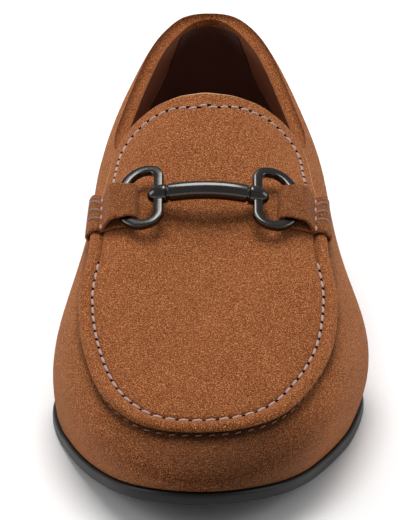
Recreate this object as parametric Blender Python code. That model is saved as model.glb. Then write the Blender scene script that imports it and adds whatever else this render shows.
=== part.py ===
"""Left bit loafer of suede: hollow upper, apron with tongue, sole, heel, and a metal bit held in two leather tabs.

Metres, +Z up. The origin is on the floor under the middle of the sole's length. The toe points to -Y, the heel to
+Y, the outer (lateral) side to +X. Every curved piece is worked out from one outer form: a turn goes round the shoe
from the heel over the lateral side to the toe (pi) and back over the medial side, and v goes up its section, from
the sole (0) over the seam or topline (1) to the ridge of the instep (2).
"""
import functools
import math

import bmesh
import bpy
import numpy as np
from mathutils import Matrix, Vector

MM = 0.001

LENGTH = 300 * MM
BALL_WIDTH = 112 * MM
HEEL_HEIGHT = 19 * MM
INSTEP_HEIGHT = 78 * MM
COLLAR_HEIGHT = 82 * MM
GAP = 0.3 * MM

SOLE_THICK = 4.2 * MM
SOLE_LEDGE = 1.4 * MM
SOLE_BEVEL = 0.7 * MM
TOP_PIECE_THICK = 6 * MM
HEEL_INSET = 1.0 * MM
HEEL_TAPER = 1.6 * MM
HEEL_BEVEL = 0.6 * MM
BREAST_SHARE = 0.235
BREAST_HOLLOW = 4 * MM
INSOLE_THICK = 3 * MM

WALL = 2.2 * MM
COLLAR_THICK = 5.0 * MM
APRON_THICK = 1.8 * MM
APRON_SEAT = 0.45 * MM
LIP_HEIGHT = 1.5 * MM
LIP_WIDTH = 4.4 * MM
SEAM_BACK_INSET = 9 * MM
SEAM_FRONT_INSET = 16 * MM
RIDGE_FRONT_INSET = 38 * MM

LEATHER = 1.1 * MM
TAB_REACH = 0.14
TAB_FOLD_FROM_ARC = 4.0 * MM
TAB_FOLD_HALF = 8.2 * MM
TAB_END_HALF = 14.0 * MM
TAB_FOLD_SHIFT = -1.9 * MM
TAB_END_SHIFT = 1.6 * MM

RING_HALF_LENGTH = 13.9 * MM
RING_WIDTH = 14.4 * MM
RING_BELLY = 5.2 * MM
RING_LEG_HALF = 9.2 * MM
RING_CORNER = 1.8 * MM
RING_FACE = 3.5 * MM
RING_THICK = 2.7 * MM
RING_CHAMFER = 0.65 * MM
RING_SHARE = 0.639
RING_V_LATERAL = 1.588
RING_V_MEDIAL = 1.653
RING_LIFT = 8.2 * MM
RING_TILT = 15.0

BAR_RADIUS = 3.3 * MM
BAR_PAST_LEG = 3.9 * MM
BAR_BOW = 2.6 * MM
BAR_NECK_FROM_LEG = 3.3 * MM
BAR_NECK_RADIUS = 2.7 * MM

SOLE_OUTLINE = (
    # share of the length from the heel, lateral and medial half widths (of the ball width)
    (0.000, 0.000, 0.000),
    (0.018, 0.130, 0.130),
    (0.065, 0.245, 0.240),
    (0.140, 0.300, 0.300),
    (0.240, 0.318, 0.302),
    (0.340, 0.322, 0.262),
    (0.440, 0.352, 0.272),
    (0.540, 0.424, 0.356),
    (0.590, 0.464, 0.430),
    (0.640, 0.490, 0.484),
    (0.700, 0.475, 0.493),
    (0.770, 0.427, 0.455),
    (0.840, 0.360, 0.398),
    (0.900, 0.293, 0.332),
    (0.947, 0.216, 0.264),
    (0.982, 0.112, 0.168),
    (1.000, -0.028, 0.028),
)
SOLE_PROFILE = (
    # share of the length, height of the sole's underside (of the heel height)
    (0.00, 1.00),
    (0.25, 1.00),
    (0.33, 0.80),
    (0.42, 0.48),
    (0.52, 0.16),
    (0.60, 0.01),
    (0.64, 0.00),
    (0.74, 0.00),
    (0.79, 0.07),
    (0.87, 0.24),
    (0.94, 0.47),
    (1.00, 0.70),
)
SEAM = (
    # share of the seam's own length, height (of the collar height), lateral and medial half widths (of the ball width)
    (0.000, 1.022, 0.002, 0.002),
    (0.016, 1.013, 0.095, 0.095),
    (0.042, 0.994, 0.144, 0.142),
    (0.078, 0.962, 0.193, 0.191),
    (0.115, 0.926, 0.231, 0.229),
    (0.151, 0.889, 0.261, 0.258),
    (0.205, 0.846, 0.295, 0.293),
    (0.260, 0.809, 0.324, 0.321),
    (0.340, 0.777, 0.354, 0.348),
    (0.423, 0.757, 0.369, 0.363),
    (0.500, 0.745, 0.371, 0.366),
    (0.586, 0.727, 0.372, 0.374),
    (0.650, 0.690, 0.379, 0.383),
    (0.720, 0.625, 0.386, 0.393),
    (0.804, 0.543, 0.383, 0.391),
    (0.870, 0.484, 0.353, 0.366),
    (0.930, 0.432, 0.286, 0.320),
    (0.972, 0.398, 0.203, 0.247),
    (0.992, 0.382, 0.100, 0.170),
    (1.000, 0.378, -0.041, 0.041),
)
RIDGE = (
    # share of the ridge's own length, height (of the instep height), shift to the lateral side (of the ball width)
    (0.00, 1.42, 0.000),
    (0.20, 1.40, 0.000),
    (0.34, 1.30, -0.005),
    (0.44, 1.175, -0.012),
    (0.52, 1.065, -0.020),
    (0.60, 0.950, -0.026),
    (0.68, 0.840, -0.030),
    (0.76, 0.745, -0.034),
    (0.84, 0.670, -0.036),
    (0.92, 0.595, -0.038),
    (1.00, 0.515, -0.040),
)
SECTION = (
    # share, bulge lateral and medial (of the ball width), rise (of the wall's height),
    # lean of the wall's top and of the roof's foot (degrees from upright)
    (0.00, 0.048, 0.048, 0.40, 10.0, 30.0),
    (0.10, 0.050, 0.050, 0.40, 12.0, 46.0),
    (0.20, 0.055, 0.055, 0.40, 14.0, 52.0),
    (0.30, 0.060, 0.055, 0.40, 16.0, 50.0),
    (0.42, 0.060, 0.045, 0.40, 18.0, 40.0),
    (0.52, 0.066, 0.030, 0.42, 20.0, 42.0),
    (0.62, 0.068, 0.015, 0.45, 24.0, 50.0),
    (0.72, 0.082, 0.040, 0.50, 30.0, 57.0),
    (0.82, 0.080, 0.062, 0.54, 38.0, 61.0),
    (0.92, 0.068, 0.062, 0.58, 45.0, 63.0),
    (1.00, 0.050, 0.055, 0.60, 48.0, 64.0),
)
WALL_TOP_PULL = 0.36
ROOF_FOOT_PULL = 0.36
ROOF_TOP_PULL = 0.37
SEAM_ROUNDING = 0.10
OPENING = (
    # share, v of the opening's rim, from the back of the collar to the throat under the tongue
    (0.000, 1.04),
    (0.060, 1.07),
    (0.130, 1.11),
    (0.220, 1.12),
    (0.310, 1.11),
    (0.390, 1.16),
    (0.444, 1.29),
    (0.495, 1.60),
    (0.522, 1.83),
    (0.534, 2.00),
)
APRON_EDGE = (
    # share, v of the tongue's cut edge, from its middle to where it runs into the seam
    (0.4475, 2.000),
    (0.4435, 1.900),
    (0.4365, 1.800),
    (0.4300, 1.700),
    (0.4225, 1.600),
    (0.4180, 1.500),
    (0.4160, 1.410),
    (0.4200, 1.330),
    (0.4320, 1.270),
    (0.4520, 1.225),
    (0.4800, 1.187),
    (0.5100, 1.160),
    (0.5380, 1.128),
    (0.5580, 1.082),
    (0.5800, 1.060),
)
LIP_V = 1.005
LIP_V_AT_TAB = 1.060
SPINE_SHARE = 0.500
BACK_STATIONS = 13
THROAT_STATIONS = 7
FRONT_STATIONS = 19
LIP_PROFILE = (
    # distance from the seam (of the lip's width), height over the apron (of the lip's height)
    (0.00, 0.33),
    (0.14, 0.75),
    (0.41, 1.00),
    (0.72, 0.55),
    (1.00, -0.13),
    (1.36, 0.00),
)
TAB_ROWS = (
    # tab's underside: distance from the lip's edge (of the lip's width) and height over the upper (of the lip's
    # height), tab's top: the same, and share of the way from the fold's width to the end's width
    (-0.12, 0.50, -0.38, 0.55, 1.00),
    (-0.12, 1.50, -0.38, 1.60, 1.00),
    (-0.05, 2.20, -0.24, 2.60, 1.00),
    (0.12, 2.50, 0.04, 3.05, 0.99),
    (0.28, 2.62, 0.26, 3.34, 0.96),
    (0.51, 2.65, 0.51, 3.43, 0.88),
    (0.82, 2.20, 0.82, 3.30, 0.68),
    (1.10, 1.62, 1.10, 3.20, 0.50),
    (1.46, 1.62, 1.46, 3.35, 0.36),
)
COLORS = {
    "suede": (0.31, 0.13, 0.05, 1),
    "sole_rubber": (0.02, 0.02, 0.021, 1),
    "insole_leather": (0.11, 0.05, 0.025, 1),
    "gunmetal": (0.16, 0.16, 0.165, 1),
}


def closed_spline(knots, values):
    """A smooth periodic cubic through the values, over one full turn."""
    count = len(knots)
    step = [(knots[(i + 1) % count] - knots[i]) % (2 * math.pi) for i in range(count)]
    rise = [(values[(i + 1) % count] - values[i]) / step[i] for i in range(count)]
    matrix = np.zeros((count, count))
    right = np.zeros(count)
    for i in range(count):
        matrix[i, i - 1] += step[i]
        matrix[i, i] += 2 * (step[i - 1] + step[i])
        matrix[i, (i + 1) % count] += step[i - 1]
        right[i] = 3 * (step[i] * rise[i - 1] + step[i - 1] * rise[i])
    slope = np.linalg.solve(matrix, right)
    knots, step, values = np.array(knots), np.array(step), np.array(values, float)

    def at(turn):
        turn = np.mod(turn, 2 * math.pi)
        i = (np.searchsorted(knots, turn, side="right") - 1) % count
        j = (i + 1) % count
        h = step[i]
        u = np.mod(turn - knots[i], 2 * math.pi) / h
        return ((1 + 2 * u) * (1 - u) ** 2 * values[i] + u * (1 - u) ** 2 * h * slope[i]
                + u * u * (3 - 2 * u) * values[j] + u * u * (u - 1) * h * slope[j])
    return at


def turn_of(share):
    return np.arccos(1 - 2 * np.asarray(share, float))


def share_of(turn):
    return (1 - np.cos(turn)) / 2


def round_curve(rows, lateral, medial, sign=1):
    """Two columns of a table as one smooth curve round the shoe: lateral side out, medial side back."""
    knots = [float(turn_of(row[0])) for row in rows]
    values = [row[lateral] for row in rows]
    for row in reversed(rows[1:-1]):
        knots.append(2 * math.pi - float(turn_of(row[0])))
        values.append(sign * row[medial])
    return closed_spline(knots, values)


def table_curve(rows, column):
    """One column of a table as a curve that never overshoots its rows."""
    xs = np.array([row[0] for row in rows], float)
    ys = np.array([row[column] for row in rows], float)
    h = np.diff(xs)
    rise = np.diff(ys) / h
    slope = np.zeros(len(xs))
    slope[0], slope[-1] = rise[0], rise[-1]
    for i in range(1, len(xs) - 1):
        if rise[i - 1] * rise[i] > 0:
            before, after = 2 * h[i] + h[i - 1], h[i] + 2 * h[i - 1]
            slope[i] = (before + after) / (before / rise[i - 1] + after / rise[i])

    def at(x):
        x = np.clip(np.asarray(x, float), xs[0], xs[-1])
        i = np.clip(np.searchsorted(xs, x, side="right") - 1, 0, len(xs) - 2)
        u = (x - xs[i]) / h[i]
        return ((1 + 2 * u) * (1 - u) ** 2 * ys[i] + u * (1 - u) ** 2 * h[i] * slope[i]
                + u * u * (3 - 2 * u) * ys[i + 1] + u * u * (u - 1) * h[i] * slope[i + 1])
    return at


outline_x = round_curve(SOLE_OUTLINE, 1, 2, sign=-1)
profile_z = table_curve(SOLE_PROFILE, 1)
seam_z = round_curve(SEAM, 1, 1)
seam_x = round_curve(SEAM, 2, 3, sign=-1)
ridge_z = table_curve(RIDGE, 1)
ridge_x = table_curve(RIDGE, 2)
bulge_at = round_curve(SECTION, 1, 2)
rise_at = round_curve(SECTION, 3, 3)
wall_lean_at = round_curve(SECTION, 4, 4)
roof_lean_at = round_curve(SECTION, 5, 5)
rim_v = table_curve(OPENING, 1)
lip_lift = table_curve(LIP_PROFILE, 1)


def smooth_step(x, low, high):
    u = np.clip((np.asarray(x, float) - low) / (high - low), 0, 1)
    return u * u * (3 - 2 * u)


def stack(x, y, z):
    return np.stack(np.broadcast_arrays(x, y, z), -1)


def unit(vectors):
    return vectors / np.linalg.norm(vectors, axis=-1, keepdims=True)


def outward(curve, turn):
    """Level direction out of a closed curve round the shoe."""
    along = curve(turn + 1e-4) - curve(turn - 1e-4)
    return unit(stack(-along[..., 1], along[..., 0], 0 * along[..., 0]))


def sole_line(turn):
    return stack(BALL_WIDTH * outline_x(turn), LENGTH * (0.5 - share_of(turn)), 0.0)


def sole_bottom(turn):
    return HEEL_HEIGHT * profile_z(share_of(turn))


def sole_edge(turn, inset, height):
    """Points inset from the sole's outline, at a height over the sole's underside."""
    points = sole_line(turn) - inset * outward(sole_line, turn)
    points[..., 2] = sole_bottom(turn) + height
    return points


def along_y(share, front_inset):
    back, front = LENGTH / 2 - SEAM_BACK_INSET, front_inset - LENGTH / 2
    return back + (front - back) * share


def seam(turn):
    """The collar's outer edge at the back, and the apron's seam at the front."""
    return stack(BALL_WIDTH * seam_x(turn), along_y(share_of(turn), SEAM_FRONT_INSET), COLLAR_HEIGHT * seam_z(turn))


def ridge(turn):
    share = share_of(turn)
    return stack(BALL_WIDTH * ridge_x(share), along_y(share, RIDGE_FRONT_INSET), INSTEP_HEIGHT * ridge_z(share))


def ridge_slope(turn):
    """Rise of the ridge towards the heel."""
    low, high = np.clip(share_of(turn) - 0.01, 0, 1), np.clip(share_of(turn) + 0.01, 0, 1)
    run = along_y(high, RIDGE_FRONT_INSET) - along_y(low, RIDGE_FRONT_INSET)
    return INSTEP_HEIGHT * (ridge_z(high) - ridge_z(low)) / run


def bezier(a, b, c, d, u):
    u = u[..., None]
    return a * (1 - u) ** 3 + 3 * b * u * (1 - u) ** 2 + 3 * c * u * u * (1 - u) + d * u ** 3


def section(turn, v):
    """Wall from the sole to the seam, then roof from the seam to the ridge, with a corner where they meet."""
    foot = sole_edge(turn, SOLE_LEDGE, SOLE_THICK + GAP)
    top, peak = seam(turn), ridge(turn)
    height = (top - foot)[..., 2]
    span = np.linalg.norm((peak - top)[..., :2], axis=-1)

    def down(lean):
        lean = np.radians(lean)
        return outward(seam, turn) * np.sin(lean)[..., None] - stack(0, 0, np.cos(lean))

    belly = foot + outward(sole_line, turn) * (BALL_WIDTH * bulge_at(turn))[..., None]
    belly[..., 2] += height * rise_at(turn)
    shoulder = top + down(wall_lean_at(turn)) * (height * WALL_TOP_PULL)[..., None]
    wall = bezier(foot, belly, shoulder, top, np.clip(v, 0, 1))
    flank = top - down(roof_lean_at(turn)) * (span * ROOF_FOOT_PULL)[..., None]
    crown = (top - peak) * ROOF_TOP_PULL
    crown[..., 2] = crown[..., 1] * ridge_slope(turn)
    roof = bezier(top, flank, peak + crown, peak, np.clip(v - 1, 0, 1))
    return np.where((v < 1)[..., None], wall, roof)


def outer_form(turn, v):
    """The upper's outer face, with the corner at the seam rounded."""
    turn, v = np.broadcast_arrays(np.asarray(turn, float), np.asarray(v, float))
    low, high = 1 - SEAM_ROUNDING, 1 + SEAM_ROUNDING
    u = np.clip((v - low) / (high - low), 0, 1)[..., None]
    before, after = section(turn, 0 * v + low), section(turn, 0 * v + high)
    corner = before * (1 - u) ** 2 + 2 * seam(turn) * u * (1 - u) + after * u * u
    return np.where(((v > low) & (v < high))[..., None], corner, section(turn, v))


def form_normal(turn, v):
    turn, v = np.broadcast_arrays(np.asarray(turn, float), np.asarray(v, float))
    step = 1e-3
    across = outer_form(turn, np.clip(v + step, 0, 2)) - outer_form(turn, np.clip(v - step, 0, 2))
    along = outer_form(turn + step, v) - outer_form(turn - step, v)
    crown = stack(0, -ridge_slope(turn), 1)
    return unit(np.where((v > 1.995)[..., None], crown, np.cross(across, along)))


def form(turn, v, lift):
    """A point at a distance over the upper's outer face, or under it where the lift is negative."""
    return outer_form(turn, v) + form_normal(turn, v) * np.asarray(lift, float)[..., None]


def v_from(turn, v, distance):
    """The v that lies a distance further up the section."""
    step = 0.02
    length = np.linalg.norm(outer_form(turn, v + step) - outer_form(turn, v), axis=-1)
    return v + step * distance / length


class Solid:
    """Vertices and faces of one closed piece."""

    def __init__(self):
        self.points = []
        self.faces = []

    def add(self, points):
        first = len(self.points)
        self.points.extend(tuple(float(x) for x in point) for point in points)
        return list(range(first, len(self.points)))

    def grid(self, rows, closed):
        """Quads between rows of vertex numbers; closed joins the last column to the first."""
        for low, high in zip(rows[:-1], rows[1:]):
            count = len(low)
            for i in range(count if closed else count - 1):
                j = (i + 1) % count
                self.faces.append((low[i], low[j], high[j], high[i]))

    def make(self, name, material, smooth_angle=35.0):
        mesh = bpy.data.meshes.new(name)
        mesh.from_pydata(self.points, [], self.faces)
        work = bmesh.new()
        work.from_mesh(mesh)
        bmesh.ops.remove_doubles(work, verts=work.verts, dist=2e-6)
        bmesh.ops.dissolve_degenerate(work, edges=work.edges, dist=1e-6)
        bmesh.ops.recalc_face_normals(work, faces=work.faces)
        work.to_mesh(mesh)
        work.free()
        mesh.materials.append(material)
        mesh.shade_smooth()
        mesh.set_sharp_from_angle(angle=math.radians(smooth_angle))
        piece = bpy.data.objects.new(name, mesh)
        bpy.context.scene.collection.objects.link(piece)
        return piece


def make_material(name, color, roughness, metallic=0.0):
    material = bpy.data.materials.new(name)
    material.use_nodes = True
    shader = material.node_tree.nodes["Principled BSDF"]
    shader.inputs["Base Color"].default_value = color
    shader.inputs["Roughness"].default_value = roughness
    shader.inputs["Metallic"].default_value = metallic
    return material


def round_stations():
    """Turns round the whole shoe, the same for upper, sole and insole, closer together beside the throat."""
    turn_side, turn_throat = float(turn_of(OPENING[-4][0])), float(turn_of(OPENING[-1][0]))
    half = np.concatenate([
        np.linspace(0, turn_side, BACK_STATIONS + 1)[:-1],
        np.linspace(turn_side, turn_throat, THROAT_STATIONS + 1)[:-1],
        np.linspace(turn_throat, math.pi, FRONT_STATIONS + 1),
    ])
    return np.concatenate([half, 2 * math.pi - half[-2:0:-1]])


def make_sheet(name, material, levels):
    """A sheet with the sole's outline and profile; levels are rows of inset and height, bottom to top."""
    solid = Solid()
    turns = round_stations()
    stations = len(turns) // 2
    rings = [solid.add(sole_edge(turns, inset, height)) for inset, height in levels]
    solid.grid(rings, closed=True)
    for ring in (rings[0], rings[-1]):
        for i in range(stations):
            solid.faces.append((ring[i], ring[i + 1], ring[-i - 1], ring[-i % len(ring)]))
    return solid.make(name, material)


def make_outsole(material):
    return make_sheet("outsole", material, (
        (SOLE_BEVEL, 0.0),
        (0.0, SOLE_BEVEL),
        (0.0, SOLE_THICK - SOLE_BEVEL / 2),
        (SOLE_BEVEL / 2, SOLE_THICK),
    ))


def make_insole(material):
    inset = SOLE_LEDGE + WALL + 2 * GAP
    bottom = SOLE_THICK + GAP
    return make_sheet("insole", material, (
        (inset, bottom),
        (inset, bottom + INSOLE_THICK * 0.7),
        (inset + INSOLE_THICK * 0.3, bottom + INSOLE_THICK),
    ))


def heel_loop(inset, height, stations=14, breast_points=7):
    """The heel's outline at a height: the sole's back, closed by a hollowed breast."""
    reach = float(turn_of(BREAST_SHARE))
    turns = np.linspace(-reach, reach, 2 * stations + 1)
    edge = sole_line(turns) - inset * outward(sole_line, turns)
    medial, lateral = edge[0], edge[-1]
    u = np.linspace(0, 1, breast_points + 2)[1:-1, None]
    breast = lateral + (medial - lateral) * u
    breast[:, 1] += BREAST_HOLLOW * 4 * (u * (1 - u))[:, 0]
    loop = np.concatenate([edge, breast])
    loop[:, 2] = height
    return loop


def make_heel_block(name, material, levels):
    solid = Solid()
    rings = [solid.add(heel_loop(inset, height)) for inset, height in levels]
    solid.grid(rings, closed=True)
    solid.faces.append(tuple(rings[0]))
    solid.faces.append(tuple(rings[-1]))
    return solid.make(name, material)


def make_heel(material):
    bottom = TOP_PIECE_THICK + GAP
    top = HEEL_HEIGHT - GAP
    share = bottom / HEEL_HEIGHT
    return make_heel_block("heel", material, (
        (HEEL_INSET + HEEL_TAPER * (1 - share), bottom),
        (HEEL_INSET, top),
    ))


def make_top_piece(material):
    share = TOP_PIECE_THICK / HEEL_HEIGHT
    lower = HEEL_INSET + HEEL_TAPER
    return make_heel_block("top_piece", material, (
        (lower + HEEL_BEVEL, 0.0),
        (lower, HEEL_BEVEL),
        (HEEL_INSET + HEEL_TAPER * (1 - share), TOP_PIECE_THICK),
    ))


def wall_thickness(turn, v):
    """The upper's wall, padded towards the topline behind the tongue."""
    behind = 1 - smooth_step(share_of(turn), 0.40, 0.50)
    return WALL + (COLLAR_THICK - WALL) * behind * smooth_step(v, 0.70, 1.0)


def make_upper(material, wall_rows=6, roof_rows=6):
    """One hollow shell: outer face, wall of its thickness, rolled rim round the opening, open underneath."""
    turns = round_stations()
    rim = rim_v(np.minimum(share_of(turns), OPENING[-1][0]))
    rows_v = [np.full(len(turns), u) for u in np.linspace(0, 1, wall_rows + 1)]
    rows_v += [1 + (rim - 1) * u for u in np.linspace(0, 1, roof_rows + 1)[1:]]
    solid = Solid()
    outer, inner = [], []
    for v in rows_v:
        thick = wall_thickness(turns, v)
        inside = form(turns, v, -thick)
        if v is rows_v[0]:
            inside = sole_edge(turns, SOLE_LEDGE + WALL, SOLE_THICK + GAP)
        outer.append(solid.add(form(turns, v, 0.0)))
        inner.append(solid.add(inside))
    solid.grid(outer, closed=True)
    solid.grid(inner, closed=True)
    solid.grid([outer[0], inner[0]], closed=True)

    throat_column = BACK_STATIONS + THROAT_STATIONS
    loop = list(range(throat_column, -1, -1)) + list(range(len(turns) - 1, len(turns) - throat_column, -1))
    face = outer_form(turns[loop], rim[loop])
    normal = form_normal(turns[loop], rim[loop])
    tangent = unit(np.roll(face, -1, axis=0) - np.roll(face, 1, axis=0))
    away = unit(np.cross(tangent, normal))
    radius = wall_thickness(turns[loop], rim[loop])[:, None] / 2
    rolls = [[outer[-1][k] for k in loop]]
    for angle in (45, 90, 135):
        c, s = math.cos(math.radians(angle)), math.sin(math.radians(angle))
        rolls.append(solid.add(face - normal * radius + (normal * c + away * s) * radius))
    rolls.append([inner[-1][k] for k in loop])
    solid.grid(rolls, closed=True)
    return solid.make("upper", material, smooth_angle=50)


def lip_v(share):
    """The v of the lip's edge, drawn in a little where the tabs wrap round it."""
    return LIP_V_AT_TAB + (LIP_V - LIP_V_AT_TAB) * smooth_step(share, 0.66, 0.76)


def apron_columns(tongue=16, front=22):
    """Edge and spine of the apron, as share, v and side, from the tongue's middle round the toe and back."""
    rows = np.array(APRON_EDGE)
    reach = np.concatenate([[0], np.cumsum(np.hypot(*(np.diff(rows, axis=0) * (3.0, 1.0)).T))])
    path = [(d, share, v) for d, (share, v) in zip(reach / reach[-1], rows)]
    steps = np.linspace(0, 1, tongue + 1)[:-1]
    shares, vs = table_curve(path, 1)(steps), table_curve(path, 2)(steps)
    turns = np.linspace(float(turn_of(rows[-1][0])), math.pi, front + 1)
    edge_turn = np.concatenate([turn_of(shares), turns])
    edge_v = np.concatenate([vs, lip_v(share_of(turns))])
    back_turn, back_v = 2 * math.pi - edge_turn[-2:0:-1], edge_v[-2:0:-1]
    return np.concatenate([edge_turn, back_turn]), np.concatenate([edge_v, back_v])


def apron_point(edge_turn, edge_v, inward):
    """Turn and v on the way from the edge (0) to the spine (1)."""
    side = np.where(edge_turn <= math.pi, 1.0, -1.0)
    share = share_of(edge_turn)
    spine = np.maximum(share, SPINE_SHARE)
    turn = turn_of(share + (spine - share) * inward)
    turn = np.where(side > 0, turn, 2 * math.pi - turn)
    return turn, edge_v + (2 - edge_v) * inward


def apron_rows(edge_turn, edge_v):
    """Rows of turn, v and lip lift, closely spaced over the lip and then on to the spine."""
    edge = outer_form(edge_turn, edge_v)
    step = 0.01
    pace = np.linalg.norm(outer_form(*apron_point(edge_turn, edge_v, step)) - edge, axis=-1) / step
    seam_part = smooth_step(share_of(edge_turn), 0.565, 0.61)
    rows = []
    for distance, height in LIP_PROFILE:
        inward = distance * LIP_WIDTH / pace
        rows.append((*apron_point(edge_turn, edge_v, inward), LIP_HEIGHT * height * seam_part))
    for share in (0.22, 0.42, 0.62, 0.82, 1.0):
        rows.append((*apron_point(edge_turn, edge_v, inward + (1 - inward) * share), 0 * inward))
    return rows


def make_apron(material):
    """Apron sewn to the wall with a raised lip, running on as the tongue over the front of the opening."""
    edge_turn, edge_v = apron_columns()
    solid = Solid()
    top, under = [], []
    for turn, v, lift in apron_rows(edge_turn, edge_v):
        top.append(solid.add(form(turn, v, GAP + APRON_THICK + lift)))
        under.append(solid.add(form(turn, v, np.full(len(turn), APRON_SEAT))))
    solid.grid(top, closed=True)
    solid.grid(under, closed=True)
    solid.grid([top[0], under[0]], closed=True)
    return solid.make("apron", material)


@functools.lru_cache(maxsize=None)
def ring_frame(side):
    """Centre of the ring's straight leg, and its axes: up the instep, outwards, and out of its face."""
    turn = float(turn_of(RING_SHARE))
    v = RING_V_LATERAL
    if side < 0:
        turn, v = 2 * math.pi - turn, RING_V_MEDIAL
    centre = form(turn, v, RING_LIFT)
    normal = form_normal(turn, v)
    up = unit(stack(0, normal[2], -normal[1]))
    below = stack(0, up[2], -up[1])
    tilt = math.radians(RING_TILT)
    out = stack(side * math.cos(tilt), 0, 0) + below * math.sin(tilt)
    face = unit(np.cross(out, up)) * side
    return centre, up, out, face


def ring_path(corner_points=3, arc_points=26):
    """The ring in its own plane, as distances up the instep and outwards: straight leg, corner, round belly, corner."""
    width = RING_WIDTH - RING_BELLY
    start = math.asin((RING_BELLY - RING_CORNER) / width)
    shoulder = (RING_HALF_LENGTH * math.cos(start), RING_CORNER)
    knee = ((RING_LEG_HALF + shoulder[0]) / 2, 0.0)
    path = [(0.0, 0.0), (RING_LEG_HALF / 2, 0.0), (RING_LEG_HALF, 0.0)]
    for i in range(1, corner_points + 1):
        u = i / (corner_points + 1)
        path.append(tuple((1 - u) ** 2 * a + 2 * u * (1 - u) * b + u * u * c
                          for a, b, c in zip((RING_LEG_HALF, 0.0), knee, shoulder)))
    for angle in np.linspace(-start, math.pi + start, arc_points + 1):
        path.append((RING_HALF_LENGTH * math.cos(angle), RING_BELLY + width * math.sin(angle)))
    for up, out in reversed(path[1:3 + corner_points]):
        path.append((-up, out))
    return np.array(path)


def make_ring(name, side, material):
    centre, up, out, face = ring_frame(side)
    path = ring_path()
    ahead = unit(np.roll(path, -1, axis=0) - np.roll(path, 1, axis=0))
    a, t, c = RING_FACE / 2, RING_THICK / 2, RING_CHAMFER
    corners = ((a, t - c), (a - c, t), (c - a, t), (-a, t - c), (-a, c - t), (c - a, -t), (a - c, -t), (a, c - t))
    solid = Solid()
    rings = []
    for wide, high in corners:
        flat = path + stack(ahead[:, 1], -ahead[:, 0], 0)[:, :2] * wide
        rings.append(solid.add(centre + flat[:, :1] * up + flat[:, 1:] * out + face * high))
    solid.grid(rings + rings[:1], closed=True)
    return solid.make(name, material)


def bar_line(x):
    """The bar's bowed centre line through the middles of the two legs; x runs from one leg (-1) to the other (1)."""
    medial, up_medial = ring_frame(-1)[:2]
    lateral, up_lateral = ring_frame(1)[:2]
    lift = np.cross(lateral - medial, up_medial + up_lateral)
    x = np.asarray(x, float)[..., None]
    return (medial + lateral) / 2 + (lateral - medial) / 2 * x + unit(lift) * BAR_BOW * (1 - x * x)


def bar_profile(half):
    """Rows of distance from the middle and radius: rod, neck, and bullet end round the ring's leg."""
    tip, neck = half + BAR_PAST_LEG, half - BAR_NECK_FROM_LEG
    bullet = BAR_RADIUS + 0.1 * MM
    shoulder = 0.5 * MM
    rows = [(0.0, BAR_RADIUS), (neck * 0.5, BAR_RADIUS), (neck - shoulder, BAR_RADIUS)]
    rows += [(neck - shoulder / 2, BAR_NECK_RADIUS), (neck + shoulder / 2, BAR_NECK_RADIUS), (neck + shoulder, bullet)]
    dome = BAR_PAST_LEG + 1.0 * MM
    for angle in (0, 25, 45, 62, 76, 86):
        rows.append((tip - dome + dome * math.sin(math.radians(angle)), bullet * math.cos(math.radians(angle)) ** 0.8))
    return rows


def make_bar(material, sides=16):
    medial, lateral = ring_frame(-1)[0], ring_frame(1)[0]
    half = float(np.linalg.norm(lateral - medial)) / 2
    rows = bar_profile(half)
    rows = [(-x, r) for x, r in reversed(rows[1:])] + rows
    solid = Solid()
    rings = []
    for x, radius in rows:
        point = bar_line(x / half)
        ahead = unit(bar_line(x / half + 0.01) - bar_line(x / half - 0.01))
        side = unit(np.cross(ahead, (0, 0, 1)))
        lift = np.cross(side, ahead)
        angles = np.linspace(0, 2 * math.pi, sides, endpoint=False)[:, None]
        rings.append(solid.add(point + (side * np.cos(angles) + lift * np.sin(angles)) * radius))
    solid.grid(rings, closed=True)
    solid.faces.append(tuple(rings[0]))
    solid.faces.append(tuple(rings[-1]))
    bar = solid.make("bit_bar", material)
    bore = math.hypot(RING_FACE / 2, RING_THICK / 2 - RING_CHAMFER) + GAP
    for name, turn_side in (("bore_medial", -1), ("bore_lateral", 1)):
        centre, up = ring_frame(turn_side)[:2]
        cutter = make_cutter(name, centre, up, bore, 6 * BAR_RADIUS)
        cut = bar.modifiers.new(name, "BOOLEAN")
        cut.object = cutter
    return bar


def make_cutter(name, centre, axis, radius, length):
    mesh = bpy.data.meshes.new(name)
    work = bmesh.new()
    bmesh.ops.create_cone(work, cap_ends=True, segments=20, radius1=radius, radius2=radius, depth=length)
    work.to_mesh(mesh)
    work.free()
    turn = Vector((0, 0, 1)).rotation_difference(Vector(axis)).to_matrix().to_4x4()
    mesh.transform(Matrix.Translation(Vector(centre)) @ turn)
    cutter = bpy.data.objects.new(name, mesh)
    bpy.context.scene.collection.objects.link(cutter)
    cutter.hide_render = True
    cutter.display_type = "WIRE"
    return cutter


def share_beside(side, v, lift, up_distance):
    """Share of the point on the form, at this v and lift, that lies this far up the instep from the ring's middle."""
    centre, up = ring_frame(side)[:2]
    shares = np.linspace(RING_SHARE + TAB_REACH, RING_SHARE - TAB_REACH, 41)
    turns = turn_of(shares) if side > 0 else 2 * math.pi - turn_of(shares)
    return float(np.interp(up_distance, (form(turns, v, lift) - centre) @ up, shares))


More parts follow.
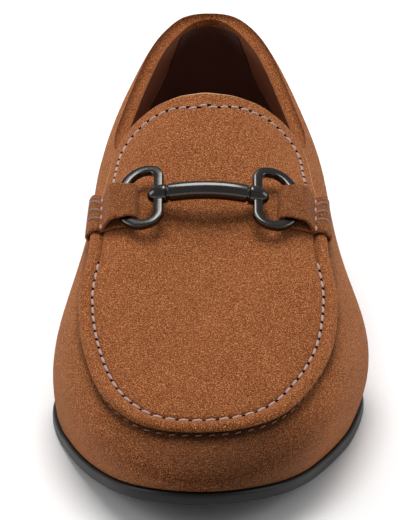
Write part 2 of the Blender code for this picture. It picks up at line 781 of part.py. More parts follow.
def tab_section(side, across):
    """Outer and inner loops of the tab's section at one place across its width, -1 to 1."""
    centre, up, out, face = ring_frame(side)
    slot = RING_THICK / 2 + GAP
    skin = slot + LEATHER
    fold_out = RING_WIDTH - TAB_FOLD_FROM_ARC
    slot_end = RING_WIDTH + RING_FACE / 2 + 2 * GAP

    def place(widening):
        half = TAB_FOLD_HALF + (TAB_END_HALF - TAB_FOLD_HALF) * widening
        shift = TAB_FOLD_SHIFT + (TAB_END_SHIFT - TAB_FOLD_SHIFT) * widening
        return shift + half * across

    def on_form(v, lift, widening):
        share = share_beside(side, v, lift, place(widening))
        turn = float(turn_of(share))
        return form(turn if side > 0 else 2 * math.pi - turn, v, lift)

    def in_plane(outwards, height, widening=0.0):
        return centre + up * place(widening) + out * outwards + face * height

    seam_turn = float(turn_of(RING_SHARE - 0.03))
    lower, upper = [], []
    for under, bottom, over, top, widening in TAB_ROWS:
        low, high = (float(v_from(seam_turn if side > 0 else 2 * math.pi - seam_turn, LIP_V_AT_TAB, d * LIP_WIDTH))
                     for d in (under, over))
        lower.append(on_form(low, bottom * LIP_HEIGHT, widening))
        upper.append(on_form(high, top * LIP_HEIGHT, widening))
    rest = TAB_ROWS[-1][1] * LIP_HEIGHT
    for v, widening in ((1.26, 0.2), (1.32, 0.08), (1.375, 0.0)):
        lower.append(on_form(v, rest, widening))
    angles = np.radians((-55, -20, 20, 55, 90))
    fold = [in_plane(fold_out - skin * math.cos(a), skin * math.sin(a)) for a in angles]
    crown = [in_plane(fold_out + 1.4 * MM, skin), in_plane(RING_WIDTH - 1.2 * MM, skin, 0.1),
             in_plane(slot_end, skin - 0.5 * MM, 0.25)]
    loop = lower + fold + crown + upper[::-1]
    inner_angles = np.radians((-90, -40, 0, 40, 90))
    slot_loop = [in_plane(slot_end, -slot, 0.25), in_plane(RING_WIDTH - 1.2 * MM, -slot, 0.1)]
    slot_loop += [in_plane(fold_out - slot * math.cos(a), slot * math.sin(a)) for a in inner_angles]
    slot_loop += [in_plane(RING_WIDTH - 1.2 * MM, slot, 0.1), in_plane(slot_end, slot, 0.25)]
    slot_loop.append(in_plane(slot_end + slot * 0.5, 0.0, 0.3))
    return loop, slot_loop


def make_tab(name, side, material, stations=7):
    """A leather tab over the lip, folded back under itself with the ring's arc in the fold."""
    solid = Solid()
    outer, inner = [], []
    for across in np.linspace(-1, 1, stations):
        loop, slot_loop = tab_section(side, across)
        outer.append(solid.add(loop))
        inner.append(solid.add(slot_loop))
    solid.grid(outer, closed=True)
    solid.grid(inner, closed=True)
    seam_rows = len(TAB_ROWS)
    for loop, slot_loop in ((outer[0], inner[0]), (outer[-1], inner[-1])):
        last = len(loop) - 1
        for i in range(seam_rows - 1):
            solid.faces.append((loop[i], loop[i + 1], loop[last - i - 1], loop[last - i]))
        k = seam_rows - 1
        solid.faces.append((loop[k], loop[k + 1], slot_loop[0], slot_loop[-1], slot_loop[-2], loop[last - k - 1],
                            loop[last - k]))
        pairs = ((1, 0), (2, 1), (3, 2), (4, 3), (5, 4), (6, 4), (7, 5), (8, 6), (9, 6), (10, 7), (11, 8))
        for (i, a), (j, b) in zip(pairs[:-1], pairs[1:]):
            face = [loop[k + i], loop[k + j], slot_loop[b]]
            if b != a:
                face.append(slot_loop[a])
            solid.faces.append(tuple(face))
    return solid.make(name, material)


def main():
    for piece in list(bpy.data.objects):
        bpy.data.objects.remove(piece)
    suede = make_material("suede", COLORS["suede"], 0.95)
    rubber = make_material("sole_rubber", COLORS["sole_rubber"], 0.45)
    leather = make_material("insole_leather", COLORS["insole_leather"], 0.6)
    metal = make_material("gunmetal", COLORS["gunmetal"], 0.25, metallic=1.0)
    make_outsole(rubber)
    make_heel(rubber)
    make_top_piece(rubber)
    make_insole(leather)
    make_upper(suede)
    make_apron(suede)
    for name, side in (("medial", -1), ("lateral", 1)):
        make_ring("bit_ring_" + name, side, metal)
        make_tab("tab_" + name, side, suede)
    make_bar(metal)


main()
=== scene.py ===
"""Looks of a brown suede bit loafer, laid out as a Blender add-on and run as a script.

Every curved piece follows one outer form: a turn goes round the shoe from the heel over the lateral side to the toe
(pi) and back, and v goes up its section, from the sole (0) over the seam or topline (1) to the instep's ridge (2).
All lengths are in metres in the frame's own axes: the toe points to -Y, the lateral side to +X, the floor is z = 0.
"""
import functools
import math

import bmesh
import bpy
import numpy as np
from bpy.props import FloatProperty, FloatVectorProperty, IntProperty, PointerProperty
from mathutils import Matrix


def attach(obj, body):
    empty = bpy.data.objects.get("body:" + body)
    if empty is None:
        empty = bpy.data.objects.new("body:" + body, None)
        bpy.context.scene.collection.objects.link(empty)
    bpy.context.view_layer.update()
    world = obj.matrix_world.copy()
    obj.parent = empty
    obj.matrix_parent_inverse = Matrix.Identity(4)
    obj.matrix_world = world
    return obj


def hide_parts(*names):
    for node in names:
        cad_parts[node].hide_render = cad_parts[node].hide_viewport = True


bl_info = {
    "name": "Suede bit loafer",
    "version": (1, 0, 0),
    "blender": (4, 5, 0),
    "location": "View3D > Sidebar > Loafer",
    "description": "Builds a suede loafer with a metal bit round its CAD frame",
    "category": "Add Mesh",
}

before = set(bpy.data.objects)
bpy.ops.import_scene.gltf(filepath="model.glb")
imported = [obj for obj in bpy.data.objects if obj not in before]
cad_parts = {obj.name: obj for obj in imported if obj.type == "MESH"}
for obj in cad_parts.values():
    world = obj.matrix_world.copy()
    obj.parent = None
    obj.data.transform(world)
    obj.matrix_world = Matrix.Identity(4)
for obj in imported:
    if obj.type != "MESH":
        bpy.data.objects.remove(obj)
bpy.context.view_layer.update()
MM = 0.001
BODY = "root"

LENGTH = 300 * MM
BALL_WIDTH = 112 * MM
HEEL_HEIGHT = 19 * MM
INSTEP_HEIGHT = 78 * MM
COLLAR_HEIGHT = 82 * MM
GAP = 0.3 * MM
SOLE_THICK = 4.2 * MM
SOLE_LEDGE = 1.4 * MM
TOP_PIECE_THICK = 6 * MM
HEEL_INSET = 1.0 * MM
HEEL_TAPER = 1.6 * MM
BREAST_SHARE = 0.235
BREAST_HOLLOW = 4 * MM
INSOLE_THICK = 3 * MM
WALL = 2.2 * MM
COLLAR_THICK = 5.0 * MM
APRON_THICK = 1.8 * MM
APRON_SEAT = 0.45 * MM
LIP_HEIGHT = 1.5 * MM
LIP_WIDTH = 4.4 * MM
LIP_V = 1.005
LIP_V_AT_TAB = 1.060
SEAM_BACK_INSET = 9 * MM
SEAM_FRONT_INSET = 16 * MM
RIDGE_FRONT_INSET = 38 * MM
TAB_LEATHER = 1.1 * MM
TAB_REACH = 0.14
TAB_FOLD_FROM_ARC = 4.0 * MM
TAB_FOLD_HALF = 8.2 * MM
TAB_END_HALF = 12.8 * MM
TAB_FOLD_SHIFT = -1.9 * MM
TAB_END_SHIFT = 3.6 * MM
RING_HALF_LENGTH = 13.9 * MM
RING_WIDTH = 14.4 * MM
RING_BELLY = 5.2 * MM
RING_LEG_HALF = 9.2 * MM
RING_CORNER = 1.8 * MM
RING_FACE = 3.5 * MM
RING_THICK = 2.7 * MM
RING_SHARE = 0.639
RING_V_LATERAL = 1.588
RING_V_MEDIAL = 1.653
RING_LIFT = 8.2 * MM
RING_TILT = 15.0
BAR_RADIUS = 3.3 * MM
BAR_PAST_LEG = 3.9 * MM
BAR_BOW = 2.6 * MM
BAR_NECK_FROM_LEG = 3.3 * MM
BAR_NECK_RADIUS = 2.7 * MM
BAND = 3.4 * MM
LINING_THICK = 0.9 * MM
LINING_PLAY = 0.1 * MM
GRIP_THICK = 0.5 * MM
GRIP_FOOT_V = 0.04
GRIP_TOP_V = 0.93
TAIL_GROOVE = 0.45 * MM
TAIL_GROOVE_HALF = 0.8 * MM
TAB_DENT = 0.95 * MM
TAB_EDGE_ROUNDING = 0.28 * MM
# number of the strap line's point that lies in the seam, and how many points on the lip's edge is
SEAM_POINT = 13
LIP_POINTS = 4
ACROSS_TAB = 23
STITCHES_FROM_SHARE = 0.70

# share of the length, lateral and medial half width over the ball's width
SOLE_OUTLINE = (
    (0.000, 0.000, 0.000), (0.018, 0.130, 0.130), (0.065, 0.245, 0.240), (0.140, 0.300, 0.300),
    (0.240, 0.318, 0.302), (0.340, 0.322, 0.262), (0.440, 0.352, 0.272), (0.540, 0.424, 0.356),
    (0.590, 0.464, 0.430), (0.640, 0.490, 0.484), (0.700, 0.475, 0.493), (0.770, 0.427, 0.455),
    (0.840, 0.360, 0.398), (0.900, 0.293, 0.332), (0.947, 0.216, 0.264), (0.982, 0.112, 0.168),
    (1.000, -0.028, 0.028),
)
# share of the length, height over the heel's
SOLE_PROFILE = (
    (0.00, 1.00), (0.25, 1.00), (0.33, 0.80), (0.42, 0.48), (0.52, 0.16), (0.60, 0.01), (0.64, 0.00),
    (0.74, 0.00), (0.79, 0.07), (0.87, 0.24), (0.94, 0.47), (1.00, 0.70),
)
# share from heel to toe, height over the collar's, lateral and medial half width over the ball's width
SEAM = (
    (0.000, 1.022, 0.002, 0.002), (0.016, 1.013, 0.095, 0.095), (0.042, 0.994, 0.144, 0.142),
    (0.078, 0.962, 0.193, 0.191), (0.115, 0.926, 0.231, 0.229), (0.151, 0.889, 0.261, 0.258),
    (0.205, 0.846, 0.295, 0.293), (0.260, 0.809, 0.324, 0.321), (0.340, 0.777, 0.354, 0.348),
    (0.423, 0.757, 0.369, 0.363), (0.500, 0.745, 0.371, 0.366), (0.586, 0.727, 0.372, 0.374),
    (0.650, 0.690, 0.379, 0.383), (0.720, 0.625, 0.386, 0.393), (0.804, 0.543, 0.383, 0.391),
    (0.870, 0.484, 0.353, 0.366), (0.930, 0.432, 0.286, 0.320), (0.972, 0.398, 0.203, 0.247),
    (0.992, 0.382, 0.100, 0.170), (1.000, 0.378, -0.041, 0.041),
)
# share, height over the instep's, sideways over the ball's width
RIDGE = (
    (0.00, 1.42, 0.000), (0.20, 1.40, 0.000), (0.34, 1.30, -0.005), (0.44, 1.175, -0.012), (0.52, 1.065, -0.020),
    (0.60, 0.950, -0.026), (0.68, 0.840, -0.030), (0.76, 0.745, -0.034), (0.84, 0.670, -0.036),
    (0.92, 0.595, -0.038), (1.00, 0.515, -0.040),
)
# share, lateral and medial bulge over the ball's width, its height, lean of the wall's top and of the roof in degrees
SECTION = (
    (0.00, 0.048, 0.048, 0.40, 10.0, 30.0), (0.10, 0.050, 0.050, 0.40, 12.0, 46.0),
    (0.20, 0.055, 0.055, 0.40, 14.0, 52.0), (0.30, 0.060, 0.055, 0.40, 16.0, 50.0),
    (0.42, 0.060, 0.045, 0.40, 18.0, 40.0), (0.52, 0.066, 0.030, 0.42, 20.0, 42.0),
    (0.62, 0.068, 0.015, 0.45, 24.0, 50.0), (0.72, 0.082, 0.040, 0.50, 30.0, 57.0),
    (0.82, 0.080, 0.062, 0.54, 38.0, 61.0), (0.92, 0.068, 0.062, 0.58, 45.0, 63.0),
    (1.00, 0.050, 0.055, 0.60, 48.0, 64.0),
)
WALL_TOP_PULL = 0.36
ROOF_FOOT_PULL = 0.36
ROOF_TOP_PULL = 0.37
SEAM_ROUNDING = 0.10
# share, v of the rim
OPENING = (
    (0.000, 1.04), (0.060, 1.07), (0.130, 1.11), (0.220, 1.12), (0.310, 1.11), (0.390, 1.16), (0.444, 1.29),
    (0.495, 1.60), (0.522, 1.83), (0.534, 2.00),
)
# share, v of the tongue's edge
APRON_EDGE = (
    (0.4475, 2.000), (0.4435, 1.900), (0.4365, 1.800), (0.4300, 1.700), (0.4225, 1.600), (0.4180, 1.500),
    (0.4160, 1.410), (0.4200, 1.330), (0.4320, 1.270), (0.4520, 1.225), (0.4800, 1.187), (0.5100, 1.160),
    (0.5380, 1.128), (0.5580, 1.082), (0.5800, 1.060),
)
# v of the edge, how much further in the row lies there than a lip's width
ROW_STRETCH = (
    (1.000, 1.02), (1.170, 1.00), (1.190, 1.02), (1.225, 1.35), (1.270, 2.05), (1.330, 2.70), (1.410, 3.10),
    (1.500, 2.95), (1.600, 2.60), (1.700, 2.30), (1.800, 2.05), (1.900, 1.72), (2.000, 1.50),
)
SPINE_SHARE = 0.500
# distance from the edge over the lip's width, lift over the lip's height
LIP_PROFILE = ((0.00, 0.33), (0.14, 0.75), (0.41, 1.00), (0.72, 0.55), (1.00, -0.13), (1.36, 0.00))
# inner distance and lift, outer distance and lift, in lip widths and heights, and how far the strap has widened
TAB_ROWS = (
    (-0.12, 0.50, -0.38, 0.55, 1.00), (-0.12, 1.50, -0.38, 1.60, 1.00), (-0.05, 2.20, -0.24, 2.60, 1.00),
    (0.12, 2.50, 0.04, 3.05, 0.99), (0.28, 2.62, 0.26, 3.34, 0.96), (0.51, 2.65, 0.51, 3.43, 0.88),
    (0.82, 2.20, 0.82, 3.30, 0.68), (1.10, 1.62, 1.10, 3.20, 0.50), (1.46, 1.62, 1.46, 3.35, 0.36),
)
# v, share of the grip's front edge
GRIP_EDGE = (
    (0.00, 0.125), (0.20, 0.098), (0.50, 0.048), (0.63, 0.036), (0.78, 0.032), (0.93, 0.036), (1.20, 0.036),
)


def hex_color(code):
    """An sRGB hex value as linear red, green, blue and alpha."""
    parts = [int(code[i:i + 2], 16) / 255 for i in (1, 3, 5)]
    return tuple(c / 12.92 if c <= 0.04045 else ((c + 0.055) / 1.055) ** 2.4 for c in parts) + (1.0,)


def hermite(u, h, start, end, start_slope, end_slope):
    """Cubic from start to end over a step h, at the share u of it."""
    return ((1 + 2 * u) * (1 - u) ** 2 * start + u * (1 - u) ** 2 * h * start_slope
            + u * u * (3 - 2 * u) * end + u * u * (u - 1) * h * end_slope)


def closed_spline(knots, values):
    """A smooth periodic cubic through the values, over one full turn."""
    knots, values = np.array(knots, float), np.array(values, float)
    count = len(knots)
    step = np.mod(np.roll(knots, -1) - knots, 2 * math.pi)
    rise = (np.roll(values, -1) - values) / step
    matrix = np.zeros((count, count))
    for i in range(count):
        matrix[i, i - 1] += step[i]
        matrix[i, i] += 2 * (step[i - 1] + step[i])
        matrix[i, (i + 1) % count] += step[i - 1]
    slope = np.linalg.solve(matrix, 3 * (step * np.roll(rise, 1) + np.roll(step, 1) * rise))

    def at(turn):
        turn = np.mod(turn, 2 * math.pi)
        i = (np.searchsorted(knots, turn, side="right") - 1) % count
        j = (i + 1) % count
        u = np.mod(turn - knots[i], 2 * math.pi) / step[i]
        return hermite(u, step[i], values[i], values[j], slope[i], slope[j])
    return at


def turn_of(share):
    return np.arccos(1 - 2 * np.asarray(share, float))


def share_of(turn):
    return (1 - np.cos(turn)) / 2


def turn_on(side, share):
    """Turn at a share on the lateral (1) or the medial side (-1)."""
    return np.where(np.asarray(side) > 0, turn_of(share), 2 * math.pi - turn_of(share))


def round_curve(rows, lateral, medial, sign=1):
    """Two columns of a table as one smooth curve round the shoe: lateral side out, medial side back."""
    back = rows[-2:0:-1]
    knots = [turn_on(1, row[0]) for row in rows] + [turn_on(-1, row[0]) for row in back]
    return closed_spline(knots, [row[lateral] for row in rows] + [sign * row[medial] for row in back])


def table_curve(rows, column):
    """One column of a table as a curve that never overshoots its rows."""
    xs = np.array([row[0] for row in rows], float)
    ys = np.array([row[column] for row in rows], float)
    h = np.diff(xs)
    rise = np.diff(ys) / h
    slope = np.zeros(len(xs))
    slope[0], slope[-1] = rise[0], rise[-1]
    for i in range(1, len(xs) - 1):
        if rise[i - 1] * rise[i] > 0:
            before, after = 2 * h[i] + h[i - 1], h[i] + 2 * h[i - 1]
            slope[i] = (before + after) / (before / rise[i - 1] + after / rise[i])

    def at(x):
        x = np.clip(np.asarray(x, float), xs[0], xs[-1])
        i = np.clip(np.searchsorted(xs, x, side="right") - 1, 0, len(xs) - 2)
        return hermite((x - xs[i]) / h[i], h[i], ys[i], ys[i + 1], slope[i], slope[i + 1])
    return at


outline_x = round_curve(SOLE_OUTLINE, 1, 2, sign=-1)
profile_z = table_curve(SOLE_PROFILE, 1)
seam_z = round_curve(SEAM, 1, 1)
seam_x = round_curve(SEAM, 2, 3, sign=-1)
ridge_z = table_curve(RIDGE, 1)
ridge_x = table_curve(RIDGE, 2)
bulge_at = round_curve(SECTION, 1, 2)
rise_at = round_curve(SECTION, 3, 3)
wall_lean_at = round_curve(SECTION, 4, 4)
roof_lean_at = round_curve(SECTION, 5, 5)
rim_v = table_curve(OPENING, 1)
lip_lift = table_curve(LIP_PROFILE, 1)
grip_share = table_curve(GRIP_EDGE, 1)
row_stretch = table_curve(ROW_STRETCH, 1)


def smooth_step(x, low, high):
    u = np.clip((np.asarray(x, float) - low) / (high - low), 0, 1)
    return u * u * (3 - 2 * u)


def stack(x, y, z):
    return np.stack(np.broadcast_arrays(x, y, z), -1)


def unit(vectors):
    return vectors / np.linalg.norm(vectors, axis=-1, keepdims=True)


def outward(curve, turn):
    """Level direction out of a closed curve round the shoe."""
    along = curve(turn + 1e-4) - curve(turn - 1e-4)
    return unit(stack(-along[..., 1], along[..., 0], 0 * along[..., 0]))


def sole_line(turn):
    return stack(BALL_WIDTH * outline_x(turn), LENGTH * (0.5 - share_of(turn)), 0.0)


def sole_bottom(turn):
    return HEEL_HEIGHT * profile_z(share_of(turn))


def sole_edge(turn, inset, height):
    """Points inset from the sole's outline, at a height over the sole's underside."""
    points = sole_line(turn) - np.asarray(inset)[..., None] * outward(sole_line, turn)
    points[..., 2] = sole_bottom(turn) + height
    return points


def along_y(share, front_inset):
    back, front = LENGTH / 2 - SEAM_BACK_INSET, front_inset - LENGTH / 2
    return back + (front - back) * share


def seam(turn):
    """The collar's outer edge at the back, and the apron's seam at the front."""
    return stack(BALL_WIDTH * seam_x(turn), along_y(share_of(turn), SEAM_FRONT_INSET), COLLAR_HEIGHT * seam_z(turn))


def ridge(turn):
    share = share_of(turn)
    return stack(BALL_WIDTH * ridge_x(share), along_y(share, RIDGE_FRONT_INSET), INSTEP_HEIGHT * ridge_z(share))


def ridge_slope(turn):
    """Rise of the ridge towards the heel."""
    low, high = np.clip(share_of(turn) - 0.01, 0, 1), np.clip(share_of(turn) + 0.01, 0, 1)
    run = along_y(high, RIDGE_FRONT_INSET) - along_y(low, RIDGE_FRONT_INSET)
    return INSTEP_HEIGHT * (ridge_z(high) - ridge_z(low)) / run


def bezier(a, b, c, d, u):
    u = u[..., None]
    return a * (1 - u) ** 3 + 3 * b * u * (1 - u) ** 2 + 3 * c * u * u * (1 - u) + d * u ** 3


def section(turn, v):
    """Wall from the sole to the seam, then roof from the seam to the ridge, with a corner where they meet."""
    foot = sole_edge(turn, SOLE_LEDGE, SOLE_THICK + GAP)
    top, peak = seam(turn), ridge(turn)
    height = (top - foot)[..., 2]
    span = np.linalg.norm((peak - top)[..., :2], axis=-1)

    def down(lean):
        lean = np.radians(lean)
        return outward(seam, turn) * np.sin(lean)[..., None] - stack(0, 0, np.cos(lean))

    belly = foot + outward(sole_line, turn) * (BALL_WIDTH * bulge_at(turn))[..., None]
    belly[..., 2] += height * rise_at(turn)
    shoulder = top + down(wall_lean_at(turn)) * (height * WALL_TOP_PULL)[..., None]
    wall = bezier(foot, belly, shoulder, top, np.clip(v, 0, 1))
    flank = top - down(roof_lean_at(turn)) * (span * ROOF_FOOT_PULL)[..., None]
    crown = (top - peak) * ROOF_TOP_PULL
    crown[..., 2] = crown[..., 1] * ridge_slope(turn)
    roof = bezier(top, flank, peak + crown, peak, np.clip(v - 1, 0, 1))
    return np.where((v < 1)[..., None], wall, roof)


def outer_form(turn, v):
    """The upper's outer face, with the corner at the seam rounded."""
    turn, v = np.broadcast_arrays(np.asarray(turn, float), np.asarray(v, float))
    low, high = 1 - SEAM_ROUNDING, 1 + SEAM_ROUNDING
    u = np.clip((v - low) / (high - low), 0, 1)[..., None]
    before, after = section(turn, 0 * v + low), section(turn, 0 * v + high)
    corner = before * (1 - u) ** 2 + 2 * seam(turn) * u * (1 - u) + after * u * u
    return np.where(((v > low) & (v < high))[..., None], corner, section(turn, v))


def form_normal(turn, v):
    turn, v = np.broadcast_arrays(np.asarray(turn, float), np.asarray(v, float))
    step = 1e-3
    across = outer_form(turn, np.clip(v + step, 0, 2)) - outer_form(turn, np.clip(v - step, 0, 2))
    along = outer_form(turn + step, v) - outer_form(turn - step, v)
    crown = stack(0, -ridge_slope(turn), 1)
    return unit(np.where((v > 1.995)[..., None], crown, np.cross(across, along)))


def form(turn, v, lift):
    """A point at a distance over the upper's outer face, or under it where the lift is negative."""
    return outer_form(turn, v) + form_normal(turn, v) * np.asarray(lift, float)[..., None]


def v_from(turn, v, distance):
    """The v that lies a distance further up the section."""
    step = 0.02
    length = np.linalg.norm(outer_form(turn, v + step) - outer_form(turn, v), axis=-1)
    return v + step * distance / length


def v_under(turns, rim, distances):
    """Rows of v that lie these distances down the section from the rim; one row of distances for each row."""
    share = np.linspace(0, 1, 161)[:, None]
    v = share * rim
    points = outer_form(turns + 0 * v, v)
    length = np.concatenate([np.zeros((1, len(turns))), np.cumsum(np.linalg.norm(np.diff(points, axis=0), axis=-1), 0)])
    rows = []
    for distance in distances:
        row = [np.interp(length[-1, k] - distance[k], length[:, k], v[:, k]) for k in range(len(turns))]
        rows.append(np.array(row))
    return rows, length[-1]


class Solid:
    """Vertices, faces and one number a vertex of one closed piece."""

    def __init__(self):
        self.points = []
        self.faces = []
        self.marks = []

    def add(self, points, mark=0.0):
        first = len(self.points)
        points = np.asarray(points, float).reshape(-1, 3)
        self.points.extend(map(tuple, points))
        self.marks.extend(np.broadcast_to(np.asarray(mark, float), len(points)))
        return list(range(first, len(self.points)))

    def grid(self, rows, closed):
        """Quads between rows of vertex numbers; closed joins the last column to the first."""
        for low, high in zip(rows[:-1], rows[1:]):
            count = len(low)
            for i in range(count if closed else count - 1):
                j = (i + 1) % count
                self.faces.append((low[i], low[j], high[j], high[i]))

    def shell(self, outer, inner, closed):
        """Two faces of a wall, joined along its bottom and its top."""
        for rows in (outer, inner, [outer[0], inner[0]], [outer[-1], inner[-1]]):
            self.grid(rows, closed)

    def make(self, name, material, smooth_angle=40.0):
        mesh = bpy.data.meshes.new(name)
        mesh.from_pydata(self.points, [], self.faces)
        mesh.attributes.new("mark", "FLOAT", "POINT").data.foreach_set("value", np.array(self.marks, np.float32))
        work = bmesh.new()
        work.from_mesh(mesh)
        bmesh.ops.remove_doubles(work, verts=work.verts, dist=2e-6)
        bmesh.ops.dissolve_degenerate(work, edges=work.edges, dist=1e-6)
        bmesh.ops.recalc_face_normals(work, faces=work.faces)
        work.to_mesh(mesh)
        work.free()
        store_painted_toe_shade(mesh)
        mesh.materials.append(material)
        mesh.shade_smooth()
        mesh.set_sharp_from_angle(angle=math.radians(smooth_angle))
        return place(name, mesh)


def store_painted_toe_shade(mesh):
    """Stores painted shade where the suede faces forwards and down: 0 nearly everywhere, 1 low on the toe's wall, whose
    nap is also brushed downwards.
    """
    count = len(mesh.vertices)
    normals, points = np.empty(3 * count), np.empty(3 * count)
    mesh.vertex_normals.foreach_get("vector", normals)
    mesh.vertices.foreach_get("co", points)
    forwards, x, y, height = -normals[1::3], points[::3], points[1::3], points[2::3]
    toe_front_shade = np.exp(-((x - 0.08 * BALL_WIDTH) / (0.36 * BALL_WIDTH)) ** 2) * smooth_step(forwards, 0.05, 0.45)
    toe_front_shade = toe_front_shade * smooth_step(-y, 0.34 * LENGTH, 0.45 * LENGTH)
    edge = COLLAR_HEIGHT * (SEAM[-1][1] + 0.075 * (x / (0.31 * BALL_WIDTH)) ** 2)
    low = 1 - smooth_step(height, edge - 0.5 * MM, edge + 2.5 * MM)
    # brushed holds the painted shade: forward-facing suede below the apron's seam at the toe
    brushed = low * np.maximum(toe_front_shade, 0.8 * smooth_step(forwards, 0.6, 0.95))
    mesh.attributes.new("brushed", "FLOAT", "POINT").data.foreach_set("value", brushed.astype(np.float32))


def place(name, mesh):
    piece = bpy.data.objects.new(name, mesh)
    bpy.context.scene.collection.objects.link(piece)
    return piece


def settle(piece, slot, *nodes):
    """The piece rides on the shoe and stands for the CAD nodes, which it hides; slot is not used."""
    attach(piece, BODY)
    if nodes:
        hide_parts(*nodes)
    return piece


def baked(name, piece):
    """The piece with its modifiers applied, as a new plain piece in its place."""
    graph = bpy.context.evaluated_depsgraph_get()
    mesh = bpy.data.meshes.new_from_object(piece.evaluated_get(graph), depsgraph=graph)
    bpy.data.objects.remove(piece)
    mesh.name = name
    return place(name, mesh)


def add_node(tree, kind, inputs=None, **settings):
    """A node with its settings; an input is a value or another node's output."""
    made = tree.nodes.new(kind)
    for key, value in settings.items():
        setattr(made, key, value)
    for key, value in (inputs or {}).items():
        if isinstance(value, bpy.types.NodeSocket):
            tree.links.new(value, made.inputs[key])
        else:
            made.inputs[key].default_value = value
    return made


def new_material(name):
    """A new material with its shader and its coordinates in metres; where it exists already, None in their place."""
    material = bpy.data.materials.get(name)
    if material:
        return material, None, None, None
    material = bpy.data.materials.new(name)
    material.use_nodes = True
    tree = material.node_tree
    return material, tree, tree.nodes["Principled BSDF"], add_node(tree, "ShaderNodeTexCoord").outputs["Object"]


def color_of(key):
    return tuple(getattr(bpy.context.scene.loafer_colors, key))


def toned(color, share):
    """The colour made lighter or darker."""
    return tuple(c * share for c in color[:3]) + (1.0,)


def noise(tree, spot, size, **inputs):
    """Noise whose features are about this many millimetres across."""
    values = {"Vector": spot, "Scale": 1 / (size * MM)}
    values.update((key.title(), value) for key, value in inputs.items())
    return add_node(tree, "ShaderNodeTexNoise", values).outputs["Fac"]


def mix(tree, share, first, second):
    return add_node(tree, "ShaderNodeMix", {0: share, 6: first, 7: second}, data_type="RGBA").outputs[2]


def remap(tree, value, before=(0.0, 1.0), after=(0.0, 1.0)):
    """The value moved from one range to another, and kept inside it."""
    return add_node(tree, "ShaderNodeMapRange", {"Value": value, "From Min": before[0], "From Max": before[1],
                                                 "To Min": after[0], "To Max": after[1]}).outputs[0]


def calculate(tree, operation, *values):
    return add_node(tree, "ShaderNodeMath", dict(enumerate(values)), operation=operation).outputs[0]


def dress(tree, shader, color, roughness, height, strength, depth):
    """Colour, roughness and relief of a shader; the relief's depth is in millimetres."""
    tree.links.new(color, shader.inputs["Base Color"])
    if isinstance(roughness, bpy.types.NodeSocket):
        tree.links.new(roughness, shader.inputs["Roughness"])
    else:
        shader.inputs["Roughness"].default_value = roughness
    bump = add_node(tree, "ShaderNodeBump", {"Height": height, "Strength": strength, "Distance": depth * MM})
    tree.links.new(bump.outputs["Normal"], shader.inputs["Normal"])


def suede_material():
    """Suede: calf split, buffed to a short nap, so it is matt, mottled and a little lighter at grazing angles; its
    colour also carries painted shade in seams, under the lip, round the straps and low on the toe's wall.
    """
    material, tree, shader, spot = new_material("suede_nap")
    if tree is None:
        return material
    # the nap's tufts are under half a millimetre, drawn a little larger so that they show
    tuft = noise(tree, spot, 0.40, detail=0.0)
    fleck = noise(tree, spot, 1.7, detail=2.0, roughness=0.6)
    stroke = remap(tree, noise(tree, spot, 26, detail=2.0, distortion=0.6), (0.32, 0.68))
    suede = color_of("suede")
    nap = mix(tree, fleck, mix(tree, stroke, color_of("suede_dark"), suede), suede)
    nap = mix(tree, remap(tree, tuft, (0.46, 0.24)), nap, color_of("suede_pits"))
    nap = mix(tree, remap(tree, tuft, (0.54, 0.78)), nap, color_of("suede_light"))
    # mark is above 0 on raw edges, which are paler, and below 0 where it paints shade into the colour: seams and
    # grooves, under the lip, round the straps
    mark = add_node(tree, "ShaderNodeAttribute", attribute_name="mark").outputs["Fac"]
    painted_crease_shade = remap(tree, mark, (-1.0, 0.0), (0.25, 1.0))
    # painted shade: brushed darkens the colour to 0.32 low on the toe's wall, where the nap is also brushed downwards
    brushed = add_node(tree, "ShaderNodeAttribute", attribute_name="brushed").outputs["Fac"]
    shade = calculate(tree, "MULTIPLY", remap(tree, brushed, after=(1.0, 0.32)), painted_crease_shade)
    shaded = add_node(tree, "ShaderNodeVectorMath", {0: nap, "Scale": shade}, operation="SCALE").outputs[0]
    color = mix(tree, calculate(tree, "MAXIMUM", mark, 0.0), shaded, color_of("cut_edge"))
    dress(tree, shader, color, 0.95, calculate(tree, "ADD", tuft, fleck), 1.0, 0.3)
    for key, value in (("IOR", 1.45), ("Specular IOR Level", 0.15), ("Sheen Weight", 0.25), ("Sheen Roughness", 0.45),
                       ("Sheen Tint", hex_color("#D9A57C"))):
        shader.inputs[key].default_value = value
    return material


def leather_material(name, color, roughness):
    """Smooth calf: finished and plated, so it has a low satin gloss and fine closed pores."""
    material, tree, shader, spot = new_material(name)
    if tree is None:
        return material
    pores = add_node(tree, "ShaderNodeTexVoronoi", {"Vector": spot, "Scale": 1 / (0.9 * MM)}).outputs["Distance"]
    wear = noise(tree, spot, 14, detail=3.0)
    gloss = remap(tree, wear, after=(roughness - 0.06, roughness + 0.08))
    dress(tree, shader, mix(tree, wear, toned(color, 0.72), color), gloss, pores, 0.35, 0.12)
    return material


def rubber_material():
    """Moulded rubber: black, trimmed and buffed at the edge, so it has soft broad highlights and a fine grain."""
    material, tree, shader, spot = new_material("moulded_rubber")
    if tree is None:
        return material
    color = color_of("rubber")
    scuff = noise(tree, spot, 18, detail=3.0)
    grain = noise(tree, spot, 0.8, detail=2.0)
    dress(tree, shader, mix(tree, scuff, color, toned(color, 1.5)), remap(tree, scuff, after=(0.34, 0.50)), grain, 0.25,
          0.1)
    shader.inputs["Specular IOR Level"].default_value = 0.25
    return material


def gunmetal_material():
    """Gunmetal plate: cast zinc, polished and plated dark, so it mirrors the room in grey with faint polishing."""
    material, tree, shader, spot = new_material("gunmetal_plate")
    if tree is None:
        return material
    color = color_of("gunmetal")
    cloud = noise(tree, spot, 6, detail=3.0)
    waviness = noise(tree, spot, 3.5, detail=1.0)
    dress(tree, shader, mix(tree, cloud, toned(color, 0.8), color), remap(tree, cloud, after=(0.13, 0.23)), waviness,
          0.2, 0.1)
    shader.inputs["Metallic"].default_value = 1.0
    return material


